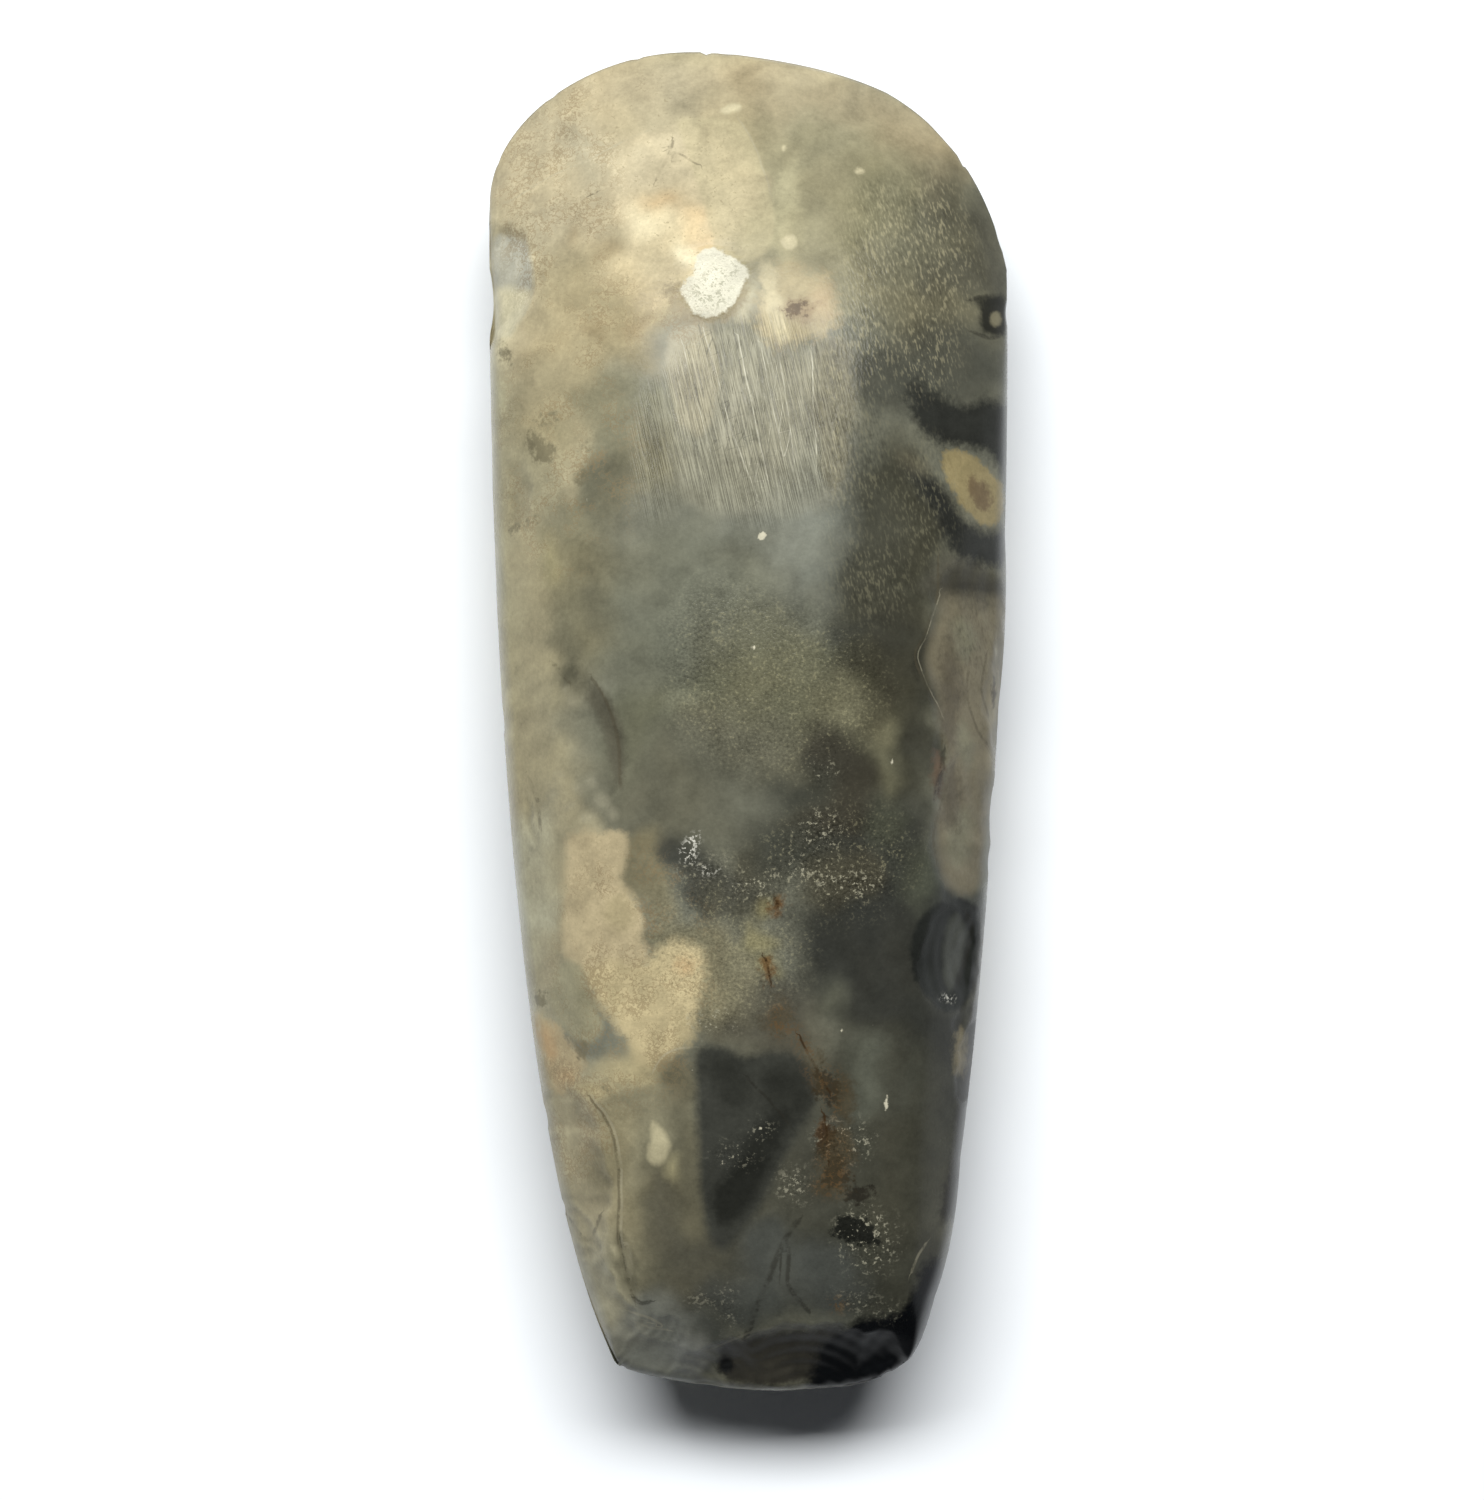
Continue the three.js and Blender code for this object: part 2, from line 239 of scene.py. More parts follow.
# Small scars that only this finer mesh can carry
fineScars = {
    "leftCrease": (-0.83, -0.15, 6, 1.2, 0.3, 14, 1.2, 0.6),
    "leftNick": (-0.68, 0.065, 3.2, 1.6, 0.25, 40, 1.3, 0),
    "leftFlat": (-0.87, 0.33, 9, 3, 0.25, 6, 1.2, 0),
    "ridgeNotchA": (0.69, 0.2, 5, 1.6, 0.35, 10, 1.5, 0.5),
    "ridgeNotchB": (0.64, 0.09, 4.6, 1.8, 0.4, -18, 1.5, 0.5),
    "ridgeNotchC": (0.705, -0.05, 6, 1.6, 0.4, -6, 1.5, 0.5),
    "rimNestA": (0.965, 0.085, 6.4, 2.2, 0.5, -6, 1.6, -0.4),
    "rimNestB": (0.955, -0.01, 5.2, 2.4, 0.45, 4, 1.6, 0),
    "ovalLens": (0.815, -0.345, 8, 2.6, 0.5, -5, 2.2, 0.5),
    "rimLow": (0.82, -0.43, 5, 2.2, 0.4, -12, 1.4, 0),
    "edgeFlake": (-0.21, 0.955, 5, 2.5, 0.12, 70, 1.4, 0),
    "cornerFacet": (-0.66, -0.76, 7, 4.6, 0.6, 34, 1.5, 0),
    "buttNotch": (-0.095, -0.945, 2.4, 2, 0.5, 0, 1.6, 0),
    "buttCorner": (0.5, -0.94, 6, 5, 0.7, -20, 1.2, 0),
}
underScars = {
    "flankLeft": (-0.74, -0.2, 28.5, 12.8, 1.35, 4, 1.5, 0.4),
    "flankRight": (0.74, -0.45, 24, 12, 1.2, -6, 1.5, -0.4),
    "shoulder": (0.85, 0.3, 22.5, 9, 0.9, 2, 1.4, 0),
    "buttFace": (0.02, -0.93, 12, 22.5, 1.5, 8, 1.1, 0),
    "buttSide": (-0.45, -0.8, 18, 9, 1.2, 16, 1.4, 0),
}
# Ripples in a scar: the strike point's plan place, the distance between them and their height
scarRipples = {
    "lowerLeft": ((-27, -44), 1.9, 0.01),
    "leftCorner": ((-21, -60), 1.5, 0.015),
    "ripples": ((-13, -66), 0.95, 0.05),
    "buttRight": ((6, -78), 1.5, 0.06),
    "buttMiddle": ((-8, -77), 1.3, 0.05),
    "sideUpper": ((33, 14), 2.1, 0.04),
    "sideMiddle": ((32, -6), 1.8, 0.04),
    "oval": ((29, -26), 1.3, 0.05),
    "bladeChip": ((-32, 52), 1.7, 0.04),
    "flankLeft": ((-33, -10), 2.2, 0.05),
    "flankRight": ((31, -34), 2, 0.05),
    "buttFace": ((4, -79), 1.8, 0.06),
}
keptRim = 0.35  # share of the height that a scar leaves at least


def wobbled(points):
    x, y = points[:, 0], points[:, 1]
    sideways = 0.28 * np.sin(0.9 * y + 1.3 * np.sin(0.37 * x)) + 0.16 * np.sin(2.3 * y + 0.7 * x)
    lengthways = 0.25 * np.sin(1.1 * x + 0.5) + 0.14 * np.sin(2.9 * x - 1.7 * y)
    return points + np.column_stack([sideways, lengthways])


def scarDepth(points, scars):
    deepest = np.zeros(len(points))
    places = wobbled(points)
    for name, (across, along, long, wide, deep, turn, steep, lean) in scars.items():
        off = places - np.array([across * halfBlade, along * halfLength])
        c, s = math.cos(math.radians(turn)), math.sin(math.radians(turn))
        crosswise = (c * off[:, 0] + s * off[:, 1]) / (0.5 * wide)
        lengthwise = (c * off[:, 1] - s * off[:, 0]) / (0.5 * long)
        out = np.minimum(crosswise**2 + lengthwise**2, 1)
        leaning = (1 + lean * crosswise) / (1 + abs(lean))
        depth = deep * (1 - out**steep) * leaning
        if name in scarRipples:
            strike, spacing, height = scarRipples[name]
            reach = np.hypot(*(points - np.array(strike)).T)
            depth = depth + height * np.sin(2 * np.pi * reach / spacing) * np.minimum(4 * (1 - out), 1)
        deepest = np.maximum(deepest, depth)
    return deepest


def faceHeight(points, scars, finer=None):
    ground = groundHeight(points)
    depth = scarDepth(points, scars)
    if finer:
        depth = depth + scarDepth(points, finer)
    return np.maximum(ground - depth, keptRim * ground), depth


# How far points stand out of the mean around them: ridges do, and hollows lie under it
def standingOut(height, rows, reach=2):
    sheet = height.reshape(rows, -1)
    mean = sheet
    for axis in (0, 1):
        mean = sum(np.roll(mean, k, axis) for k in range(-reach, reach + 1)) / (2 * reach + 1)
    above = sheet - mean
    for edge in (above, above.T):
        edge[:reach] = edge[-reach:] = 0
    return above.ravel()


def crowded(cells, crowding):
    share = np.linspace(0, 1, cells + 1)
    return share + crowding * ((1 - np.cos(np.pi * share)) / 2 - share)


def makeBody():
    cellsAcross, cellsAlong = axe["cells"]
    grid = planGrid(crowded(cellsAcross, axe["crowding"][0]), crowded(cellsAlong, axe["crowding"][1]))
    plan = grid.reshape(-1, 2)
    middle = middleHeight(plan)
    above, upperDepth = faceHeight(plan, upperScars, fineScars)
    beneath, underDepth = faceHeight(plan, underScars)
    rows, columns = np.indices(grid.shape[:2]).reshape(2, -1)
    onRim = (rows == 0) | (rows == cellsAlong) | (columns == 0) | (columns == cellsAcross)
    above[onRim] = 0
    upper = np.arange(len(plan)).reshape(grid.shape[:2])
    lower = upper.copy().ravel()
    lower[~onRim] = len(plan) + np.arange((~onRim).sum())
    lower = lower.reshape(upper.shape)
    under = np.column_stack([plan, middle - beneath])[~onRim]
    places = np.vstack([np.column_stack([plan, middle + above]), under])
    places[:, 2] = np.maximum(places[:, 2], places[:, 2].min() + axe["restingWear"])
    depths = np.concatenate([upperDepth, underDepth[~onRim]])
    ridges = np.concatenate([standingOut(above, len(grid)), standingOut(beneath, len(grid))[~onRim]])
    inside = np.concatenate([~onRim, np.ones(len(under), bool)]).astype(float)
    faces = []
    for sheet, order in ((upper, (0, 1, 2, 3)), (lower, (3, 2, 1, 0))):
        cell = [sheet[:-1, :-1], sheet[:-1, 1:], sheet[1:, 1:], sheet[1:, :-1]]
        faces.append(np.stack([cell[k] for k in order], axis=-1).reshape(-1, 4))
    return places, np.vstack(faces), {"scar": depths, "ridge": ridges, "inside": inside}


def fitToBox(places):
    lowest, highest = places.min(axis=0), places.max(axis=0)
    boxLow, boxHigh = np.array(low) / mm, np.array(high) / mm
    return boxLow + (places - lowest) * (boxHigh - boxLow) / (highest - lowest)


def plainMesh(name, places, faces, marks=None):
    mesh = bpy.data.meshes.new(name)
    mesh.from_pydata(np.asarray(places).tolist(), [], np.asarray(faces).tolist())
    for mark, values in (marks or {}).items():
        kind, member = ("FLOAT", "value") if values.ndim == 1 else ("FLOAT_VECTOR", "vector")
        mesh.attributes.new(mark, kind, "POINT").data.foreach_set(member, values.astype(np.float32).ravel())
    mesh.polygons.foreach_set("use_smooth", np.ones(len(mesh.polygons), bool))
    mesh.update()
    return mesh


def shown(name, mesh):
    piece = bpy.data.objects.new(name, mesh)
    bpy.context.scene.collection.objects.link(piece)
    return piece


places, faces, marks = makeBody()
places = fitToBox(places)
print("axe body made:", len(places), "points")

# The camera looks straight down. Its view's middle, height and distance hold at the level of the axe's rim
view = {"centre": (-0.73, -3.13), "height": 167.9, "distance": 550, "rimLevel": 16.4}
# Most places on the axe are typed as pixels of the photograph, and the broad ones as millimetres laid flat
# over it. They are worked out on the form, whose top is nearer to the camera than its rim
photo = {
    "size": (1484, 1500),
    "flatMiddle": (748.6, 721.5),  # the pixel at which flat millimetres start
    "flatScale": 9.1,  # pixels to such a millimetre
    "firstLevel": 10,  # above the rim, from where the search for a place's height starts
    "attempts": 4,
    "topFrom": 15.5,  # lower points of the form don't belong to its upper face
    "everyPoint": 5,  # one in five points of the face is enough for its height
    "neighbours": 6,
    "leastGap": 0.05,
}
painting = {
    "toneScale": 0.8,
    "baseTone": "#747465",
    "undersideTone": "#7d7a66",
    "undersideFrom": (7, 13),  # heights between which the underside's plainer clouds take over
    "sideFrom": (8, 15.5),  # heights between which the sides' colours stop following the top's
    "sideWarp": 4,
    "undersideGap": 6,  # how far outside every crisp patch the underside counts as
    "crispWarp": 0.15,  # share of the warp that crisp patches, lines and grains follow
    "warpSize": (7, 2.2),
    "warp": (2.2, 0.8),
    "unwarped": (  # crisp patches that are placed without any of the warp
        "chalk", "chalkShadowRim", "creamEye", "creamCrown", "ochre", "tooth", "toothCore", "toothLobe", "panel",
    ),
    "marbleSize": (5, 1.7),
    "marble": (0.18, 0.2),
    # Ridges are painted lighter and hollows darker, as painted light and shade that partly also stands for
    # wear on the ridges: how strong it is, the stations in millimetres over which it fades out towards the
    # cutting edge, and the ridge height at which it is full
    "ridgeTone": 0.14,
    "ridgesFade": (22, 36),
    "ridgeHeight": 0.06,
    "warmSize": 9,
    "warmth": (0.05, -0.08),  # of the red and of the blue
}


# Smooth noise between -1 and 1 at places in the plane
def clouds(points, size, seed, octaves=3):
    cells = 64
    total, weight = np.zeros(len(points)), 0
    for octave in range(octaves):
        lattice = np.random.default_rng(seed * 10 + octave).uniform(-1, 1, (cells, cells))
        spot = points * 2**octave / size + cells / 2
        cell = np.floor(spot).astype(int)
        part = spot - cell
        part = part * part * (3 - 2 * part)
        column, row = cell[:, 0] % cells, cell[:, 1] % cells
        nextColumn, nextRow = (column + 1) % cells, (row + 1) % cells
        near = lattice[column, row] * (1 - part[:, 0]) + lattice[nextColumn, row] * part[:, 0]
        far = lattice[column, nextRow] * (1 - part[:, 0]) + lattice[nextColumn, nextRow] * part[:, 0]
        total += (near * (1 - part[:, 1]) + far * part[:, 1]) * 0.5**octave
        weight += 0.5**octave
    return total / weight


def warped(points):
    moved = points.copy()
    for turn, (size, reach) in enumerate(zip(painting["warpSize"], painting["warp"])):
        sideways, lengthways = (clouds(points, size, seed + 2 * turn) for seed in (3, 4))
        moved += reach * np.column_stack([sideways, lengthways])
    return moved


topPoints = places[places[:, 2] > photo["topFrom"]][:: photo["everyPoint"]]


def topLevel(x, y):
    gaps = np.hypot(topPoints[:, 0] - x, topPoints[:, 1] - y)
    near = np.argpartition(gaps, photo["neighbours"])[: photo["neighbours"]]
    return np.average(topPoints[near, 2], weights=1 / (gaps[near] + photo["leastGap"])) - view["rimLevel"]


def onForm(pixelX, pixelY):
    level = photo["firstLevel"]
    for attempt in range(photo["attempts"]):
        scale = photo["size"][1] / view["height"] / (1 - level / view["distance"])
        x = view["centre"][0] + (pixelX - photo["size"][0] / 2) / scale
        y = view["centre"][1] - (pixelY - photo["size"][1] / 2) / scale
        level = topLevel(x, y)
    return x, y, scale


# An oval: the pixel of its middle, half its width and height in pixels, and its turn in degrees
def oval(pixelX, pixelY, halfWidth, halfHeight, turn):
    x, y, scale = onForm(pixelX, pixelY)
    return x, y, halfWidth / scale, halfHeight / scale, turn


# The same for a patch that is warped: its middle goes where the warp takes that spot
def aimed(pixelX, pixelY, halfWidth, halfHeight, turn):
    x, y, wide, long, turn = oval(pixelX, pixelY, halfWidth, halfHeight, turn)
    spread = np.linspace(-0.5, 0.5, 5)
    spotX, spotY = np.meshgrid(x + spread * wide, y + spread * long)
    middle = warped(np.column_stack([spotX.ravel(), spotY.ravel()])).mean(axis=0)
    return *middle, wide, long, turn


# An oval in flat millimetres
def flat(flatX, flatY, halfWidth, halfHeight, turn):
    pixelX = photo["flatMiddle"][0] + photo["flatScale"] * flatX
    pixelY = photo["flatMiddle"][1] - photo["flatScale"] * flatY
    return *onForm(pixelX, pixelY)[:2], halfWidth, halfHeight, turn


# The points of a line or of a closed curve: pixels in pairs
def path(*pixels):
    return [onForm(pixelX, pixelY)[:2] for pixelX, pixelY in zip(pixels[::2], pixels[1::2])]


# Soft patches of colour painted on the mesh's points, from the broadest to the smallest: tone, blur of
# the rim in millimetres, strength, and ovals: middle, half width, half height, turn in degrees
softPatches = {
    "tanField": ("#a69e7f", 3.4, 1, [
        flat(-15,60, 21,18, 0), flat(-25,18, 4.5,36, 0), flat(-23.5,36, 9,13, 0), flat(-5,68, 27,8, 0),
        flat(-24.5,-15, 5,33, 0),
    ]),
    "tanBright": ("#bdb192", 4.5, 0.9, [
        flat(-20.5,60, 10,10, 0), flat(-10,70, 15,4.5, 0), flat(-22.5,43, 6.5,6.5, 0),
    ]),
    "edgeTan": ("#a2977a", 2.5, 0.9, [flat(11,67, 13,4.5, -18), flat(20,63, 5.5,4.5, -40)]),
    "greenGrey": ("#948f74", 3, 0.95, [flat(8.5,57, 9,10.5, 0), flat(13,53, 6,8, 0)]),
    "crownPanel": ("#b6af8d", 2.2, 0.8, [aimed(785,205, 22,50, -10)]),
    "edgeLight": ("#d8c9a4", 1.8, 0.45, [aimed(800,72, 32,7, 6)]),
    "topShade": ("#a2987b", 2, 0.8, [aimed(702,100, 36,12, 5)]),
    "upperStreaks": ("#7f7b60", 2.2, 0.75, [aimed(870,205, 24,50, -12), aimed(906,202, 18,30, -20)]),
    "midShade": ("#565648", 2, 0.95, [
        aimed(766,602, 54,20, 0), aimed(812,576, 22,14, 0), aimed(650,640, 18,22, 0),
    ]),
    "lowTan": ("#a79c7b", 2.5, 0.8, [flat(-16,45, 6.5,7.5, 0), flat(-20.5,36.5, 5.5,5.5, 0)]),
    "leftFlank": ("#a8a185", 1.6, 1, [
        flat(-18,-49, 5.7,13, 8), flat(-16.7,-62, 4.6,8, 22), flat(-23.5,-30.5, 3.3,10, 5),
    ]),
    "lowerOlive": ("#8a846a", 1.8, 0.95, [flat(-11.5,-46, 5.5,12, 0), flat(-12.4,-58.5, 3,5, 0)]),
    "lowerShade": ("#5e5b4c", 2.2, 0.95, [flat(-7.5,-54.5, 4.6,8, 10), flat(-7.5,-63, 3.5,4, 0)]),
    "groundGlow": ("#868472", 3, 0.85, [flat(0.5,36, 11,8, 0)]),
    "blueGrey": ("#7b7d71", 4, 0.85, [flat(4,19.5, 10.5,7, 0)]),
    "midGrey": ("#70705f", 3.5, 0.8, [flat(-15,10, 6.5,5, 0), flat(-7.5,14.5, 10,6.5, 0)]),
    "greenOlive": ("#65644f", 3.5, 0.85, [flat(3,3.5, 11,7, 0), flat(-10.5,-2, 5.5,6.5, 0)]),
    "slate": ("#666556", 3, 0.9, [flat(-6.5,-8.5, 9.5,5.5, 0), flat(-3,-4, 7.5,5.5, 0)]),
    "rightOlive": ("#3d3c31", 3, 0.9, [flat(15.5,17.5, 6.5,14.5, 0), flat(14.5,0, 6,10, 0)]),
    "darkRight": ("#383934", 2.6, 1, [
        flat(16.5,-26, 11.5,10.5, 0), flat(20.5,-38, 6,14.5, 0), flat(14.5,-15, 6.5,6.5, 0),
    ]),
    "lowerRight": ("#47473d", 2.6, 1, [flat(14.5,-46, 9.5,12, 0), flat(13.5,-59, 9.5,7.5, 0)]),
    "lowerCentre": ("#4e4d42", 2.4, 0.9, [flat(-1.5,-56.5, 7,6, 0), flat(5.6,-49, 5.5,6.5, 0)]),
    "upperRightShade": ("#716e5a", 4.5, 0.95, [flat(24,51, 4.6,10, 8), flat(20,46, 6,9, 0)]),
    "rightCorner": ("#57564a", 1.8, 0.8, [aimed(968,272, 22,24, 0), aimed(926,284, 14,14, 0)]),
    "rimCream": ("#c6bc9a", 1.2, 0.8, [aimed(503,342, 8,34, 0)]),
    "betweenLight": ("#bdb699", 1.2, 0.8, [aimed(748,300, 10,24, 0), aimed(620,370, 12,16, 0)]),
    "lumpGround": ("#b3ac8e", 1.4, 0.7, [aimed(562,806, 15,24, 0), aimed(588,824, 12,12, 0)]),
    "upperRightDark": ("#4b4b41", 2.8, 0.75, [flat(26.6,50, 2,7.6, 10), flat(22.5,57, 2,2.6, 30)]),
    "rightGlow": ("#73715b", 1.8, 0.85, [aimed(886,757, 14,44, -5), aimed(842,704, 19,32, 0)]),
    "centreGlow": ("#86856e", 2, 0.8, [aimed(680,700, 18,16, 0)]),
    "rightGrey": ("#515345", 2.2, 0.85, [aimed(885,825, 22,26, 0), aimed(922,878, 22,26, 0)]),
    "sideDusk": ("#57554a", 1.6, 0.9, [aimed(965,580, 34,14, 0)]),
    "lowerGreen": ("#5e6054", 2, 0.85, [aimed(865,1082, 20,34, -10), aimed(830,1000, 14,18, 0)]),
    "rightShadow": ("#4a4b43", 2.6, 0.9, [flat(15.5,38.5, 5.5,3.5, 0), flat(23,39.5, 5.5,4.5, 0)]),
    "leftOlive": ("#87836a", 2.2, 0.85, [
        flat(-14,32, 5,7.5, 0), flat(-18,17.5, 3,10, 0), aimed(654,422, 15,36, 0),
    ]),
    "leftDusk": ("#6c6a58", 1.8, 0.95, [
        aimed(594,604, 16,42, 0), aimed(570,666, 15,36, 0), aimed(608,476, 26,28, 0),
        aimed(652,430, 8,18, 0),
    ]),
    "warmEdge": ("#897e5a", 1.4, 0.6, [aimed(648,364, 12,20, 0)]),
    "leftGlow": ("#a39c78", 1.4, 0.7, [oval(556,560, 8,26, 0)]),
    "creamCrown": ("#c9bc9b", 1.4, 0.9, [
        path(640,127, 662,119, 698,123, 726,131, 746,145, 759,172, 763,198, 751,221, 736,240, 722,250,
            700,262, 684,290, 655,300, 628,292, 616,262, 618,225, 606,190, 616,150),
    ]),
    "brightCream": ("#f2e7c2", 1.8, 0.9, [
        oval(682,232, 26,18, 15), oval(655,262, 24,20, 0), oval(640,225, 14,24, 0),
    ]),
    "creamTail": ("#c9bb97", 1.6, 0.8, [flat(-12,50, 4.2,3.3, 20), flat(-7.5,52, 4.4,1.8, 0)]),
    "orangeStain": ("#c9a878", 1.4, 0.45, [
        oval(658,198, 16,9, 0), oval(690,220, 12,16, 20), oval(700,238, 8,7, 0),
    ]),
    "creamBlotch": ("#b3a785", 1.4, 0.6, [flat(-19.3,29.5, 2,4.6, 0), flat(-20.5,42, 4.4,3.3, 0)]),
    "brightCore": ("#fff6d2", 1, 0.8, [aimed(682,254, 12,8, 0)]),
    "leftShade": ("#948d70", 1.4, 0.7, [aimed(560,432, 14,14, 0)]),
    "tanSpeckShade": ("#9c8a68", 1.2, 0.5, [
        oval(572,240, 9,5, -30), oval(640,322, 9,8, 0), oval(598,330, 12,6, 0), oval(605,248, 8,14, 20),
    ]),
    "olivePatch": ("#7d775e", 1.3, 0.9, [
        flat(-11,-16.3, 2.6,4, 0), oval(690,945, 50,24, 0), flat(-3,-28, 5,5, 0),
        oval(735,1010, 40,24, 0),
    ]),
    "flankFacet": ("#b9b497", 1.2, 0.9, [oval(534,890, 17,75, 5), oval(548,830, 8,20, 0)]),
    # Painted light: a lighter band along the steep left rim
    "rimLight": ("#b3ad8c", 1.6, 0.6, [oval(500,480, 10,150, 0), oval(509,690, 8,70, -4)]),
    "creamSkirt": ("#b3a782", 1.2, 0.9, [
        oval(620,1068, 32,16, -15), oval(640,1048, 20,16, 0), oval(594,1090, 22,11, 0),
    ]),
    "flankShade": ("#807b62", 1.4, 0.6, [aimed(603,1168, 10,30, 0)]),
    "flankLight": ("#a29a7b", 1.2, 0.8, [aimed(622,1120, 13,22, 10)]),
    "oliveTan": ("#878065", 1.6, 0.8, [oval(716,985, 12,34, 0), oval(660,905, 12,30, 0)]),
    "aboveTooth": ("#565449", 2.4, 0.95, [aimed(785,1025, 32,44, 10), aimed(748,1032, 28,12, 0)]),
    "darkBlob": ("#403e35", 1.5, 0.95, [
        flat(8.7,-6, 3.8,4, 0), oval(820,820, 42,30, 0), oval(785,845, 42,20, 20),
    ]),
    "darkBand": ("#454640", 1.3, 0.9, [oval(735,892, 55,24, 0), oval(690,862, 34,18, -30)]),
    "crumbShade": ("#504f43", 1.8, 0.85, [
        aimed(765,852, 32,40, 0), aimed(712,908, 16,18, 0), aimed(742,912, 18,12, 0),
    ]),
    "crumbDark": ("#41423a", 1.8, 0.95, [aimed(808,795, 28,20, 10), aimed(790,848, 44,26, -25)]),
    "crumbGround": ("#514d3d", 1.6, 0.6, [oval(850,885, 40,22, 0)]),
    "rightDarkSpots": ("#3e3e36", 1.2, 0.75, [
        oval(918,745, 22,20, 0), oval(905,640, 26,24, -20), oval(920,680, 12,30, 0),
        flat(11,9.8, 3,1.5, 0),
    ]),
    "toothShade": ("#676350", 1.6, 0.85, [
        oval(682,1074, 20,22, 0), aimed(682,1120, 13,38, 0), oval(690,1180, 22,56, 0),
    ]),
    "smoothGrey": ("#4f514b", 1.6, 0.9, [
        flat(7.8,-62, 5,4.2, 0), oval(770,1270, 30,50, 0), oval(690,1345, 34,36, 0),
        oval(735,1300, 40,26, 0),
    ]),
    "buttLeft": ("#84857a", 1.5, 0.8, [oval(655,1335, 40,40, 0)]),
    "buttGrey": ("#85867e", 1.2, 0.8, [aimed(690,1354, 18,22, 0)]),
    "rustGlow": ("#8b8460", 0.9, 0.75, [
        oval(765,938, 11,15, 0), oval(779,903, 9,11, 0), oval(768,972, 7,16, 0),
    ]),
    "wedgeGlow": ("#a8a07c", 1, 0.8, [oval(664,1172, 9,13, -10)]),
}
